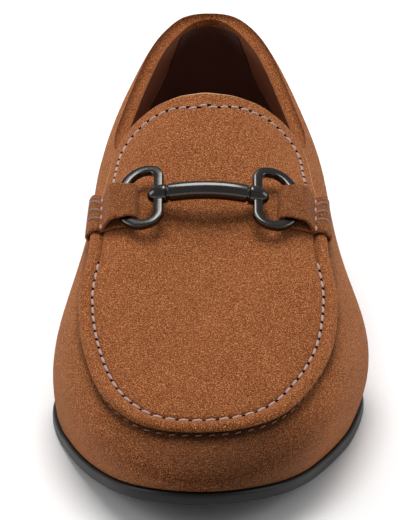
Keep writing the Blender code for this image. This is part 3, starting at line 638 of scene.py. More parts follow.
def thread_material(name, color):
    """Bonded polyester thread: two plies twisted and glazed, so it shows slanting ridges with a soft shine."""
    material, tree, shader, spot = new_material(name)
    if tree is None:
        return material
    ply = noise(tree, spot, 0.7, detail=2.0)
    dress(tree, shader, mix(tree, ply, toned(color, 0.5), color), 0.5, ply, 0.5, 0.15)
    return material


def shadow_material():
    """Painted shade of a needle hole: a dark bead between the stitches in place of the shadow inside the pierced
    leather, too deep for light to come back.
    """
    material, tree, shader, spot = new_material("needle_hole")
    if tree is None:
        return material
    color = mix(tree, noise(tree, spot, 1.0), hex_color("#120A07"), hex_color("#2A150C"))
    tree.links.new(color, shader.inputs["Base Color"])
    shader.inputs["Roughness"].default_value = 1.0
    shader.inputs["Specular IOR Level"].default_value = 0.0
    return material


def floor_material():
    """Studio floor: matt painted board, nearly white, with a trace of unevenness."""
    material, tree, shader, spot = new_material("painted_board")
    if tree is None:
        return material
    color = mix(tree, noise(tree, spot, 160), hex_color("#F4F4F4"), hex_color("#F8F8F8"))
    tree.links.new(color, shader.inputs["Base Color"])
    shader.inputs["Roughness"].default_value = 0.9
    return material


def mirrored_turns(half):
    """Turns of the lateral side from 0 to pi, followed by the medial side's."""
    return np.concatenate([half, 2 * math.pi - half[-2:0:-1]])


def upper_turns(back=54, throat=22, front=60):
    side, end = float(turn_of(OPENING[-4][0])), float(turn_of(OPENING[-1][0]))
    half = np.concatenate([
        [0, 0.006, 0.014], np.linspace(0.03, side, back)[:-1],
        np.linspace(side, end, throat + 1)[:-1], np.linspace(end, math.pi, front + 1)])
    return mirrored_turns(half), 3 + back - 1 + throat


def wall_thickness(turn, v):
    """The upper's wall, padded towards the topline behind the tongue."""
    behind = 1 - smooth_step(share_of(turn), 0.40, 0.50)
    return WALL + (COLLAR_THICK - WALL) * behind * smooth_step(v, 0.70, 1.0)


def upper_rows(turns):
    """Rows of v from the foot to the rim, close together over the turned-down band, with each row's share of band."""
    rim = rim_v(np.minimum(share_of(turns), OPENING[-1][0]))
    band = 0.6 * MM + (BAND - 0.6 * MM) * (1 - smooth_step(share_of(turns), 0.45, 0.52))
    near = (0, 0.10, 0.22, 0.36, 0.52, 0.70, 0.84, 0.94, 1.0, 1.06, 1.2, 1.45)
    _, total = v_under(turns, rim, [])
    distances = [band * k for k in near]
    rest = total - distances[-1]
    distances += [distances[-1] + rest * k for k in np.linspace(0, 1, 31)[1:]]
    rows, _ = v_under(turns, rim, distances[::-1])
    rows[0] = 0 * rows[0]
    return rim, rows, [d / band for d in distances[::-1]]


def back_groove(turns, v, points):
    """Depth of the pressed seam down the middle of the back."""
    below = (share_of(turns) < 0.1) * (1 - smooth_step(v, 0.75, 0.92))
    return TAIL_GROOVE * np.exp(-(points[..., 0] / TAIL_GROOVE_HALF) ** 2) * below


def make_suede_upper():
    """Wall of suede, rolled over the padded topline and turned down inside as a narrow band."""
    turns, throat_column = upper_turns()
    rim, rows, shares = upper_rows(turns)
    solid = Solid()
    outer, inner = [], []
    for v, share in zip(rows, shares):
        lined = smooth_step(share, 1.0, 1.06)
        thick = wall_thickness(turns, v) - (LINING_THICK + LINING_PLAY) * lined
        face = form(turns, v, 0.0)
        inside = form(turns, v, -thick)
        if v is rows[0]:
            inside = sole_edge(turns, SOLE_LEDGE + thick, SOLE_THICK + GAP)
        # painted shade on the wall just under the apron's lip, stored as a negative mark
        under_lip = 0.7 * np.exp(-((v - 0.985) / 0.045) ** 2) * smooth_step(share_of(turns), 0.57, 0.62)
        outer.append(solid.add(face - form_normal(turns, v) * back_groove(turns, v, face)[:, None], -under_lip))
        inner.append(solid.add(inside))
    solid.grid(outer, closed=True)
    solid.grid(inner, closed=True)
    solid.grid([outer[0], inner[0]], closed=True)
    loop = list(range(throat_column, -1, -1)) + list(range(len(turns) - 1, len(turns) - throat_column, -1))
    face, normal = outer_form(turns[loop], rim[loop]), form_normal(turns[loop], rim[loop])
    tangent = unit(np.roll(face, -1, axis=0) - np.roll(face, 1, axis=0))
    away = unit(np.cross(tangent, normal))
    radius = wall_thickness(turns[loop], rim[loop])[:, None] / 2
    rolls = [[outer[-1][k] for k in loop]]
    for angle in np.radians(np.linspace(0, 180, 13)[1:-1]):
        rolls.append(solid.add(face - normal * radius + (normal * math.cos(angle) + away * math.sin(angle)) * radius))
    rolls.append([inner[-1][k] for k in loop])
    solid.grid(rolls, closed=True)
    settle(solid.make("suede_upper", suede_material(), 60), "suede", "upper")


def make_side_lining():
    """Smooth lining of the wall, from under the turned-down band to the insole."""
    turns, _ = upper_turns()
    _, rows, shares = upper_rows(turns)
    solid = Solid()
    outer, inner = [], []
    for v, share in zip(rows, shares):
        if float(share.min()) < 1.03:
            continue
        thick = wall_thickness(turns, v)
        near, far = form(turns, v, -(thick - LINING_THICK)), form(turns, v, -thick)
        if v is rows[0]:
            near = sole_edge(turns, SOLE_LEDGE + thick - LINING_THICK, SOLE_THICK + GAP)
            far = sole_edge(turns, SOLE_LEDGE + thick, SOLE_THICK + GAP)
        outer.append(solid.add(near))
        inner.append(solid.add(far))
    solid.shell(outer, inner, closed=True)
    material = leather_material("lining_calf", color_of("lining"), 0.5)
    settle(solid.make("side_lining", material, 60), "insole_leather")


def make_heel_grip():
    """Dark grip of brushed leather round the inside of the heel, with its front edges raked forwards."""
    across = np.linspace(-1, 1, 81)
    turns = np.mod(across * turn_of(grip_share(GRIP_TOP_V)), 2 * math.pi)
    rim = rim_v(share_of(turns))
    top = v_under(turns, rim, [0 * turns + BAND * 1.03])[0][0]
    solid = Solid()
    outer, inner = [], []
    for k in np.linspace(0, 1, 41):
        v = GRIP_FOOT_V + (top - GRIP_FOOT_V) * k
        turn = np.mod(across * turn_of(grip_share(v)), 2 * math.pi)
        thick = wall_thickness(turn, v)
        outer.append(solid.add(form(turn, v, -(thick + 0.03 * MM))))
        inner.append(solid.add(form(turn, v, -(thick + GRIP_THICK))))
    solid.shell(outer, inner, closed=False)
    for end in (0, -1):
        solid.grid([[row[end] for row in outer], [row[end] for row in inner]], closed=False)
    material = leather_material("grip_leather", color_of("grip"), 0.75)
    settle(solid.make("heel_grip", material, 60), "insole_leather")


def cross_rows(solid, ring, stations, steps=10):
    """Fills a ring of vertices round the sole with quads between its lateral and medial halves."""
    points = np.array([solid.points[k] for k in ring])
    left, right = points[1:stations], points[:stations:-1][:stations - 1]
    rows = [ring[1:stations]]
    for k in np.linspace(0, 1, steps + 1)[1:-1]:
        rows.append(solid.add(left + (right - left) * k))
    rows.append(ring[:stations:-1][:stations - 1])
    solid.grid(rows, closed=False)
    for end, tip in ((0, ring[0]), (-1, ring[stations])):
        for a, b in zip(rows[:-1], rows[1:]):
            solid.faces.append((a[end], b[end], tip))


def make_sole_sheet(name, material, levels, stations=150):
    """A sheet with the sole's outline and profile; levels are rows of inset and height, bottom to top."""
    solid = Solid()
    turns = mirrored_turns(np.linspace(0, math.pi, stations + 1))
    rings = [solid.add(sole_edge(turns, inset, height)) for inset, height in levels]
    solid.grid(rings, closed=True)
    for ring in (rings[0], rings[-1]):
        cross_rows(solid, ring, stations)
    return solid.make(name, material, 50)


def make_outsole():
    """Thin black sole with a rounded, buffed edge."""
    bottom = ((5.0, 0.0), (1.2, 0.0), (0.62, 0.06), (0.28, 0.24), (0.08, 0.52), (0.0, 0.9), (0.0, 2.0))
    top = ((0.02, 1.3), (0.14, 0.75), (0.42, 0.28), (0.85, 0.05), (1.5, 0.0), (4.0, 0.0))
    levels = [(inset * MM, up * MM) for inset, up in bottom]
    levels += [(inset * MM, SOLE_THICK - down * MM) for inset, down in top]
    settle(make_sole_sheet("outsole_edge", rubber_material(), levels), "sole_rubber", "outsole")


def make_insole_sock():
    """Leather sock over the whole length of the insole."""
    inset, bottom = SOLE_LEDGE + WALL + 2 * GAP, SOLE_THICK + GAP
    levels = [(inset + a * MM, bottom + INSOLE_THICK * k) for a, k in
              ((0.0, 0.0), (0.0, 0.6), (0.12, 0.82), (0.4, 0.95), (1.0, 1.0), (3.0, 1.0))]
    material = leather_material("lining_calf", color_of("lining"), 0.5)
    settle(make_sole_sheet("insole_sock", material, levels), "insole_leather", "insole")


def heel_loop(inset, height, stations=56, breast_points=30):
    """The heel's outline at a height: the sole's back, closed by a hollowed breast."""
    reach = float(turn_of(BREAST_SHARE))
    turns = np.linspace(-reach, reach, 2 * stations + 1)
    edge = sole_line(turns) - inset * outward(sole_line, turns)
    medial, lateral = edge[0], edge[-1]
    u = np.linspace(0, 1, breast_points + 2)[1:-1, None]
    breast = lateral + (medial - lateral) * u
    breast[:, 1] += BREAST_HOLLOW * 4 * (u * (1 - u))[:, 0]
    loop = np.concatenate([edge, breast])
    loop[:, 2] = height
    return loop


def make_heel_part(name, node, levels):
    """A block of the heel from rows of extra inset and height in millimetres."""
    solid = Solid()
    rings = []
    for extra, height in levels:
        taper = HEEL_TAPER * (1 - height * MM / HEEL_HEIGHT)
        rings.append(solid.add(heel_loop(HEEL_INSET + taper + extra * MM, height * MM)))
    solid.grid(rings, closed=True)
    solid.faces.append(tuple(rings[0]))
    solid.faces.append(tuple(rings[-1]))
    settle(solid.make(name, rubber_material(), 35), "sole_rubber", node)


def lip_v(share):
    """The v of the lip's edge, drawn in a little where the straps wrap round it."""
    return LIP_V_AT_TAB + (LIP_V - LIP_V_AT_TAB) * smooth_step(share, 0.66, 0.76)


def apron_columns(tongue=90, front=120):
    """The apron's edge as turn and v, from the tongue's middle round the toe and back."""
    rows = np.array(APRON_EDGE)
    reach = np.concatenate([[0], np.cumsum(np.hypot(*(np.diff(rows, axis=0) * (3.0, 1.0)).T))])
    path = [(d, share, v) for d, (share, v) in zip(reach / reach[-1], rows)]
    steps = np.linspace(0, 1, tongue + 1)[:-1]
    shares, vs = table_curve(path, 1)(steps), table_curve(path, 2)(steps)
    turns = np.linspace(float(turn_of(rows[-1][0])), math.pi, front + 1)
    edge_turn = np.concatenate([turn_of(shares), turns])
    edge_v = np.concatenate([vs, lip_v(share_of(turns))])
    return mirrored_turns(edge_turn), np.concatenate([edge_v, edge_v[-2:0:-1]])


def apron_point(edge_turn, edge_v, inward):
    """Turn and v on the way from the edge (0) to the spine (1)."""
    share = share_of(edge_turn)
    spine = np.maximum(share, SPINE_SHARE)
    return turn_on(math.pi + 1e-9 - edge_turn, share + (spine - share) * inward), edge_v + (2 - edge_v) * inward


def seam_part(edge_turn):
    """1 along the raised seam, 0 round the tongue's cut edge."""
    return smooth_step(share_of(edge_turn), 0.565, 0.61)


def apron_top(edge_turn, edge_v, distance):
    """Turn, v and lift of the apron's top at a distance from its edge; 1 is the lip's width or the row's place."""
    edge = outer_form(edge_turn, edge_v)
    step = 0.01
    pace = np.linalg.norm(outer_form(*apron_point(edge_turn, edge_v, step)) - edge, axis=-1) / step
    pace = pace / row_stretch(edge_v)
    turn, v = apron_point(edge_turn, edge_v, distance * LIP_WIDTH / pace)
    on_seam = seam_part(edge_turn)
    lift = LIP_HEIGHT * lip_lift(distance) * on_seam
    lift = lift - (0.22 + 0.28 * on_seam) * MM * np.exp(-((distance - 1.04) / 0.12) ** 2)
    lift = lift - (0.10 + 0.35 * (1 - on_seam)) * MM * (1 - smooth_step(distance, 0.0, 0.10))
    return turn, v, GAP + APRON_THICK + lift, pace


def make_apron():
    """Apron with a raised lip round the toe, running on as the tongue with a raw cut edge."""
    edge_turn, edge_v = apron_columns()
    raw = 1 - seam_part(edge_turn)
    solid = Solid()
    top, under = [], []
    distances = (0, 0.03, 0.07, 0.12, 0.18, 0.25, 0.33, 0.42, 0.52, 0.62, 0.72, 0.80, 0.87, 0.93, 0.98, 1.03, 1.08,
                 1.14, 1.21, 1.29, 1.36)
    for distance in distances:
        turn, v, lift, pace = apron_top(edge_turn, edge_v, distance)
        from_edge = distance * LIP_WIDTH * row_stretch(edge_v)
        # groove paints shade into the stitch row's groove along the seam; pale is the raw edge's own lighter colour
        groove = 0.55 * (1 - raw) * math.exp(-((distance - 1.04) / 0.10) ** 2)
        pale = (0.55 + 0.4 * smooth_step(edge_v, 1.2, 1.7)) * raw * (1 - smooth_step(from_edge, 0.4 * MM, 1.0 * MM))
        top.append(solid.add(form(turn, v, lift), pale - groove))
    reached = distances[-1] * LIP_WIDTH / pace
    for share in np.linspace(0, 1, 33)[1:]:
        turn, v = apron_point(edge_turn, edge_v, reached + (1 - reached) * share)
        top.append(solid.add(form(turn, v, 0 * turn + GAP + APRON_THICK)))
    sides = [top[0]]
    for distance, share in ((0.00, 0.72), (0.05, 0.50), (0.13, 0.28), (0.24, 0.10), (0.36, 0.0)):
        turn, v = apron_point(edge_turn, edge_v, distance * LIP_WIDTH / pace * seam_part(edge_turn))
        whole = apron_top(edge_turn, edge_v, 0.0)[2]
        # the tongue's raw side is paler; along the seam the lip's side gets painted shade, darkest at its foot
        mark = raw * 0.9 * (share > 0.2) - (1 - raw) * 0.8 * (1 - share)
        sides.append(solid.add(form(turn, v, APRON_SEAT + (whole - APRON_SEAT) * share), mark))
    start = 0.36 * LIP_WIDTH / pace * seam_part(edge_turn)
    under = [sides[-1]]
    for share in np.linspace(0, 1, 15)[1:]:
        turn, v = apron_point(edge_turn, edge_v, start + (1 - start) * share)
        under.append(solid.add(form(turn, v, 0 * turn + APRON_SEAT)))
    solid.grid(top, closed=True)
    solid.grid(sides, closed=True)
    solid.grid(under, closed=True)
    settle(solid.make("suede_apron", suede_material(), 60), "suede", "apron")


def stitch_tree():
    """Stitches along a line: a short arc of thread at every pitch, its ends sunk, its top away from the leather."""
    tree = bpy.data.node_groups.get("stitch_row")
    if tree:
        return tree
    tree = bpy.data.node_groups.new("stitch_row", "GeometryNodeTree")
    sockets = (("Geometry", "Geometry", None), ("Pitch", "Float", 4 * MM), ("Stitch Length", "Float", 3 * MM),
               ("Thread Radius", "Float", 0.4 * MM), ("Rise", "Float", 0.3 * MM), ("Offset", "Float", 0.0),
               ("Sink", "Float", 0.0), ("Slant", "Float", 0.0), ("Unevenness", "Float", 0.06), ("Seed", "Int", 4),
               ("Thread", "Material", None))
    for name, kind, value in sockets:
        made = tree.interface.new_socket(name, in_out="INPUT", socket_type="NodeSocket" + kind)
        if value is not None:
            made.default_value = value
    tree.interface.new_socket("Geometry", in_out="OUTPUT", socket_type="NodeSocketGeometry")
    given = add_node(tree, "NodeGroupInput").outputs
    line = add_node(tree, "GeometryNodeMeshToCurve", {"Mesh": given["Geometry"]})
    spaced = add_node(tree, "GeometryNodeResampleCurve", {"Curve": line.outputs[0], "Length": given["Pitch"]},
                      mode="LENGTH")
    half = calculate(tree, "MULTIPLY", given["Stitch Length"], 0.5)
    start = calculate(tree, "SUBTRACT", given["Offset"], half)
    stop = calculate(tree, "ADD", given["Offset"], half)
    sunk = calculate(tree, "MULTIPLY", calculate(tree, "ADD", given["Sink"], given["Thread Radius"]), -1.0)
    peak = calculate(tree, "MULTIPLY_ADD", given["Rise"], 2.0, given["Sink"])
    ends = [add_node(tree, "ShaderNodeCombineXYZ", {"X": x, "Z": z}).outputs[0] for x, z in
            ((start, sunk), (given["Offset"], peak), (stop, sunk))]
    arc = add_node(tree, "GeometryNodeCurveQuadraticBezier", {"Resolution": 6, "Start": ends[0], "Middle": ends[1],
                                                              "End": ends[2]})
    ring = add_node(tree, "GeometryNodeCurvePrimitiveCircle", {"Resolution": 7, "Radius": given["Thread Radius"]})
    thread = add_node(tree, "GeometryNodeCurveToMesh", {"Curve": arc.outputs[0], "Profile Curve": ring.outputs[0],
                                                        "Fill Caps": True})
    soft = add_node(tree, "GeometryNodeSetShadeSmooth", {"Geometry": thread.outputs[0]})
    tangent = add_node(tree, "GeometryNodeInputTangent")
    away = add_node(tree, "GeometryNodeInputNamedAttribute", {"Name": "away"}, data_type="FLOAT_VECTOR")
    ahead = add_node(tree, "FunctionNodeAlignRotationToVector", {"Vector": tangent.outputs[0]}, axis="X")
    upright = add_node(tree, "FunctionNodeAlignRotationToVector",
                       {"Rotation": ahead.outputs[0], "Vector": away.outputs[0]}, axis="Z", pivot_axis="X")
    low = calculate(tree, "MULTIPLY", given["Unevenness"], -1.0)
    chance = add_node(tree, "FunctionNodeRandomValue", {2: low, 3: given["Unevenness"], "Seed": given["Seed"]},
                      data_type="FLOAT")
    twist = add_node(tree, "ShaderNodeCombineXYZ", {"Z": calculate(tree, "ADD", given["Slant"], chance.outputs[1])})
    turned = add_node(tree, "FunctionNodeEulerToRotation", {0: twist.outputs[0]})
    final = add_node(tree, "FunctionNodeRotateRotation", {"Rotation": upright.outputs[0],
                                                          "Rotate By": turned.outputs[0]}, rotation_space="LOCAL")
    laid = add_node(tree, "GeometryNodeInstanceOnPoints", {"Points": spaced.outputs[0], "Instance": soft.outputs[0],
                                                           "Rotation": final.outputs[0]})
    real = add_node(tree, "GeometryNodeRealizeInstances", {"Geometry": laid.outputs[0]})
    made = add_node(tree, "GeometryNodeSetMaterial", {"Geometry": real.outputs[0], "Material": given["Thread"]})
    add_node(tree, "NodeGroupOutput", {"Geometry": made.outputs[0]})
    return tree


def thread_tree():
    """A round thread that follows a line, with flat ends."""
    tree = bpy.data.node_groups.get("laid_thread")
    if tree:
        return tree
    tree = bpy.data.node_groups.new("laid_thread", "GeometryNodeTree")
    for name, kind in (("Geometry", "Geometry"), ("Thread Radius", "Float"), ("Thread", "Material")):
        tree.interface.new_socket(name, in_out="INPUT", socket_type="NodeSocket" + kind)
    tree.interface.new_socket("Geometry", in_out="OUTPUT", socket_type="NodeSocketGeometry")
    given = add_node(tree, "NodeGroupInput").outputs
    line = add_node(tree, "GeometryNodeMeshToCurve", {"Mesh": given["Geometry"]})
    ring = add_node(tree, "GeometryNodeCurvePrimitiveCircle", {"Resolution": 10, "Radius": given["Thread Radius"]})
    thread = add_node(tree, "GeometryNodeCurveToMesh", {"Curve": line.outputs[0], "Profile Curve": ring.outputs[0],
                                                        "Fill Caps": True})
    soft = add_node(tree, "GeometryNodeSetShadeSmooth", {"Geometry": thread.outputs[0]})
    real = add_node(tree, "GeometryNodeRealizeInstances", {"Geometry": soft.outputs[0]})
    made = add_node(tree, "GeometryNodeSetMaterial", {"Geometry": real.outputs[0], "Material": given["Thread"]})
    add_node(tree, "NodeGroupOutput", {"Geometry": made.outputs[0]})
    return tree


def line_mesh(name, lines):
    """Polylines as one mesh of edges, with the way out of the leather stored at each point."""
    points, away, edges = [], [], []
    for line, normals in lines:
        first = len(points)
        points.extend(map(tuple, line))
        away.extend(map(tuple, normals))
        edges.extend((first + i, first + i + 1) for i in range(len(line) - 1))
    mesh = bpy.data.meshes.new(name)
    mesh.from_pydata(points, edges, [])
    mesh.attributes.new("away", "FLOAT_VECTOR", "POINT").data.foreach_set("vector", np.array(away, np.float32).ravel())
    return mesh


def make_row(name, lines, tree, thread, slot, **sizes):
    """Threads along lines by a Geometry Nodes tree, turned into a plain mesh; sizes are the tree's inputs."""
    guide = place(name + "_guide", line_mesh(name, lines))
    modifier = guide.modifiers.new("stitches", "NODES")
    modifier.node_group = tree
    values = {key.replace("_", " ").title(): value for key, value in sizes.items()}
    values["Thread"] = thread
    for item in tree.interface.items_tree:
        if item.in_out == "INPUT" and item.name in values:
            modifier[item.identifier] = values[item.name]
    return settle(baked(name, guide), slot)


def apron_line(distance, low, high, lift=0.05 * MM):
    """A line along the apron at a distance from its edge, in lip widths, between two shares."""
    edge_turn, edge_v = apron_columns()
    turn, v, over, _ = apron_top(edge_turn, edge_v, distance)
    points, normals = form(turn, v, over + lift), form_normal(turn, v)
    share = share_of(edge_turn)
    numbers = np.flatnonzero((share >= low) & (share <= high))
    gap = np.flatnonzero(np.diff(numbers) > 1)
    if len(gap):
        numbers = np.roll(numbers, -gap[0] - 1)
    return points[numbers], normals[numbers]


def make_seam_rows():
    """The apron's stitch row, the small threads under its lip and the tongue's row."""
    sizes = bpy.context.scene.loafer_sizes
    thread = thread_material("apron_thread", color_of("thread"))
    toe = apron_line(1.02, STITCHES_FROM_SHARE, 1.0)
    tongue = apron_line(1.04, 0.0, 0.585)
    for name, line, pitch in (("toe", toe, sizes.toe_pitch), ("tongue", tongue, sizes.tongue_pitch)):
        same = {"pitch": pitch, "slant": 0.08, "unevenness": 0.05, "seed": sizes.seed}
        make_row("stitches_" + name, [line], stitch_tree(), thread, "suede", stitch_length=pitch * 0.86,
                 thread_radius=sizes.thread / 2, rise=0.30 * MM, **same)
        # dark beads of painted shade between the stitches, where the needle holes lie
        make_row("needle_holes_" + name, [line], stitch_tree(), shadow_material(), "suede", stitch_length=1.9 * MM,
                 thread_radius=0.60 * MM, rise=0.14 * MM, offset=pitch / 2, **same)
    turns = mirrored_turns(np.linspace(float(turn_of(STITCHES_FROM_SHARE)), math.pi, 160))[:319]
    v = v_from(turns, lip_v(share_of(turns)), 0 * turns - 0.1 * MM)
    line = (form(turns, v, 0 * turns + 0.22 * MM), form_normal(turns, v))
    make_row("stitches_under_lip", [line], stitch_tree(), thread_material("strap_thread", color_of("strap_thread")),
             "suede", pitch=sizes.toe_pitch, stitch_length=1.9 * MM, thread_radius=0.24 * MM, rise=0.14 * MM,
             slant=0.12, seed=sizes.seed)


def make_lining_rows():
    """The fine row that holds the heel grip, in thread of the lining's colour."""
    across = np.linspace(-0.96, 0.96, 60)
    turns = np.mod(across * float(turn_of(grip_share(GRIP_TOP_V))), 2 * math.pi)
    drop = BAND * (1.75 + 0.25 * across ** 2)
    v = v_under(turns, rim_v(share_of(turns)), [drop])[0][0]
    lift = -(wall_thickness(turns, v) + GRIP_THICK + 0.02 * MM)
    thread = thread_material("lining_thread", hex_color("#4A3327"))
    make_row("stitches_grip", [(form(turns, v, lift), -form_normal(turns, v))], stitch_tree(), thread,
             "insole_leather", pitch=2.4 * MM, stitch_length=1.8 * MM, thread_radius=0.22 * MM, rise=0.14 * MM, seed=8)


@functools.lru_cache(maxsize=None)
def ring_frame(side):
    """Centre of the ring's straight leg, and its axes: up the instep, outwards, and out of its face."""
    turn, v = float(turn_on(side, RING_SHARE)), RING_V_LATERAL if side > 0 else RING_V_MEDIAL
    centre = form(turn, v, RING_LIFT)
    normal = form_normal(turn, v)
    up = unit(stack(0, normal[2], -normal[1]))
    below = stack(0, up[2], -up[1])
    tilt = math.radians(RING_TILT)
    out = stack(side * math.cos(tilt), 0, 0) + below * math.sin(tilt)
    face = unit(np.cross(out, up)) * side
    return centre, up, out, face


def ring_path(corner_points=8, arc_points=84):
    """The ring in its own plane, as distances up the instep and outwards: straight leg, corner, round belly, corner."""
    width = RING_WIDTH - RING_BELLY
    start = math.asin((RING_BELLY - RING_CORNER) / width)
    shoulder = (RING_HALF_LENGTH * math.cos(start), RING_CORNER)
    knee = ((RING_LEG_HALF + shoulder[0]) / 2, 0.0)
    path = [(RING_LEG_HALF * k, 0.0) for k in (0.0, 0.25, 0.5, 0.75, 1.0)]
    for i in range(1, corner_points + 1):
        u = i / (corner_points + 1)
        path.append(tuple((1 - u) ** 2 * a + 2 * u * (1 - u) * b + u * u * c
                          for a, b, c in zip((RING_LEG_HALF, 0.0), knee, shoulder)))
    for angle in np.linspace(-start, math.pi + start, arc_points + 1):
        path.append((RING_HALF_LENGTH * math.cos(angle), RING_BELLY + width * math.sin(angle)))
    path += [(-up, out) for up, out in reversed(path[1:5 + corner_points])]
    return np.array(path)


def make_ring(name, side):
    """A cast D ring with a soft-edged square section."""
    centre, up, out, face = ring_frame(side)
    path = ring_path()
    ahead = unit(np.roll(path, -1, axis=0) - np.roll(path, 1, axis=0))
    solid = Solid()
    rings = []
    for angle in np.linspace(0, 2 * math.pi, 28, endpoint=False):
        c, s = math.cos(angle), math.sin(angle)
        wide = RING_FACE / 2 * math.copysign(abs(c) ** 0.45, c)
        high = RING_THICK / 2 * math.copysign(abs(s) ** 0.45, s)
        flat = path + np.stack([ahead[:, 1], -ahead[:, 0]], 1) * wide
        rings.append(solid.add(centre + flat[:, :1] * up + flat[:, 1:] * out + face * high))
    solid.grid(rings + rings[:1], closed=True)
    settle(solid.make(name, gunmetal_material(), 50), "gunmetal", name.replace("ring", "bit_ring"))


def bar_line(x):
    """The bar's bowed centre line through the middles of the two legs; x runs from one leg (-1) to the other (1)."""
    medial, up_medial = ring_frame(-1)[:2]
    lateral, up_lateral = ring_frame(1)[:2]
    lift = np.cross(lateral - medial, up_medial + up_lateral)
    x = np.asarray(x, float)[..., None]
    return (medial + lateral) / 2 + (lateral - medial) / 2 * x + unit(lift) * BAR_BOW * (1 - x * x)


def bar_profile(half):
    """Rows of distance from the middle and radius: rod, neck, and bullet end round the ring's leg."""
    tip, neck = half + BAR_PAST_LEG, half - BAR_NECK_FROM_LEG
    bullet = BAR_RADIUS + 0.1 * MM
    rows = [(neck * k, BAR_RADIUS) for k in np.linspace(0, 0.93, 12)]
    rows += [(neck - a * MM, r) for a, r in (
        (0.75, BAR_RADIUS), (0.58, BAR_RADIUS - 0.05 * MM), (0.42, BAR_RADIUS - 0.25 * MM), (0.30, BAR_NECK_RADIUS),
        (-0.20, BAR_NECK_RADIUS), (-0.32, bullet - 0.28 * MM), (-0.46, bullet - 0.06 * MM), (-0.62, bullet),
        (-1.2, bullet), (-2.0, bullet))]
    dome = BAR_PAST_LEG + 1.0 * MM
    for angle in np.linspace(0, 88, 16):
        rows.append((tip - dome + dome * math.sin(math.radians(angle)), bullet * math.cos(math.radians(angle)) ** 0.8))
    return rows


def make_bar(sides=40):
    """Bowed bar between the rings, with a turned groove at each end before the bullet tips."""
    half = float(np.linalg.norm(ring_frame(1)[0] - ring_frame(-1)[0])) / 2
    rows = bar_profile(half)
    rows = [(-x, r) for x, r in reversed(rows[1:])] + rows
    solid = Solid()
    rings = []
    angles = np.linspace(0, 2 * math.pi, sides, endpoint=False)[:, None]
    for x, radius in rows:
        ahead = unit(bar_line(x / half + 0.01) - bar_line(x / half - 0.01))
        side = unit(np.cross(ahead, (0, 0, 1)))
        lift = np.cross(side, ahead)
        rings.append(solid.add(bar_line(x / half) + (side * np.cos(angles) + lift * np.sin(angles)) * radius))
    solid.grid(rings, closed=True)
    solid.faces.append(tuple(rings[0]))
    solid.faces.append(tuple(rings[-1]))
    settle(solid.make("bit_bar_turned", gunmetal_material(), 35), "gunmetal", "bit_bar")


@functools.lru_cache(maxsize=None)
def share_beside(side, v, lift, up_distance):
    """Share of the point on the form, at this v and lift, that lies this far up the instep from the ring's middle."""
    centre, up = ring_frame(side)[:2]
    shares = np.linspace(RING_SHARE + TAB_REACH, RING_SHARE - TAB_REACH, 41)
    return float(np.interp(up_distance, (form(turn_on(side, shares), v, lift) - centre) @ up, shares))


@functools.lru_cache(maxsize=None)
def strap_v(side, distance):
    """The v that lies a distance over the lip's edge, at the strap's middle."""
    return float(v_from(turn_on(side, RING_SHARE - 0.03), LIP_V_AT_TAB, distance))


@functools.lru_cache(maxsize=None)
def tab_line(side, across):
    """Middle of the strap's thickness at one place across its width, from under the fold to the wrapped end."""
    centre, up, out, face = ring_frame(side)
    middle = RING_THICK / 2 + GAP + TAB_LEATHER / 2
    fold_out = RING_WIDTH - TAB_FOLD_FROM_ARC

    def distance_up(widening):
        half = TAB_FOLD_HALF + (TAB_END_HALF - TAB_FOLD_HALF) * widening
        return TAB_FOLD_SHIFT + (TAB_END_SHIFT - TAB_FOLD_SHIFT) * widening + half * across

    def on_form(v, lift, widening):
        return form(turn_on(side, share_beside(side, v, lift, distance_up(widening))), v, lift)

    def in_plane(outwards, height, widening=0.0):
        return centre + up * distance_up(widening) + out * outwards + face * height

    rest = TAB_ROWS[-1][1] * LIP_HEIGHT + TAB_LEATHER / 2
    under_fold = ((1.15, 0.45), (1.20, 0.32), (1.26, 0.2), (1.32, 0.08), (1.375, 0.0))
    points = [on_form(v, rest, widening) for v, widening in under_fold]
    for angle in np.radians((-50, -18, 18, 50, 90)):
        points.append(in_plane(fold_out - middle * math.cos(angle), middle * math.sin(angle)))
    points.append(in_plane(RING_WIDTH - 1.2 * MM, middle, 0.1))
    points.append(in_plane(RING_WIDTH + RING_FACE / 2 + 2 * GAP, middle - 0.4 * MM, 0.25))
    for under, bottom, over, top, widening in reversed(TAB_ROWS):
        low, high = strap_v(side, under * LIP_WIDTH), strap_v(side, over * LIP_WIDTH)
        dent = TAB_DENT * math.exp(-((over - 1.10) / 0.16) ** 2)
        upper = on_form(high, top * LIP_HEIGHT - dent, widening)
        inner = on_form(low, bottom * LIP_HEIGHT, widening)
        points.append(upper + unit(inner - upper) * TAB_LEATHER / 2)
    return np.array(points)


def smooth_line(points, count):
    """Evenly spaced points on a smooth curve through the given ones."""
    reach = np.concatenate([[0], np.cumsum(np.linalg.norm(np.diff(points, axis=0), axis=1))])
    slope = np.gradient(points, reach, axis=0)
    fine = np.linspace(0, reach[-1], count)
    i = np.clip(np.searchsorted(reach, fine, side="right") - 1, 0, len(reach) - 2)
    h = (reach[i + 1] - reach[i])[:, None]
    u = (fine - reach[i])[:, None] / h
    return hermite(u, h, points[i], points[i + 1], slope[i], slope[i + 1])


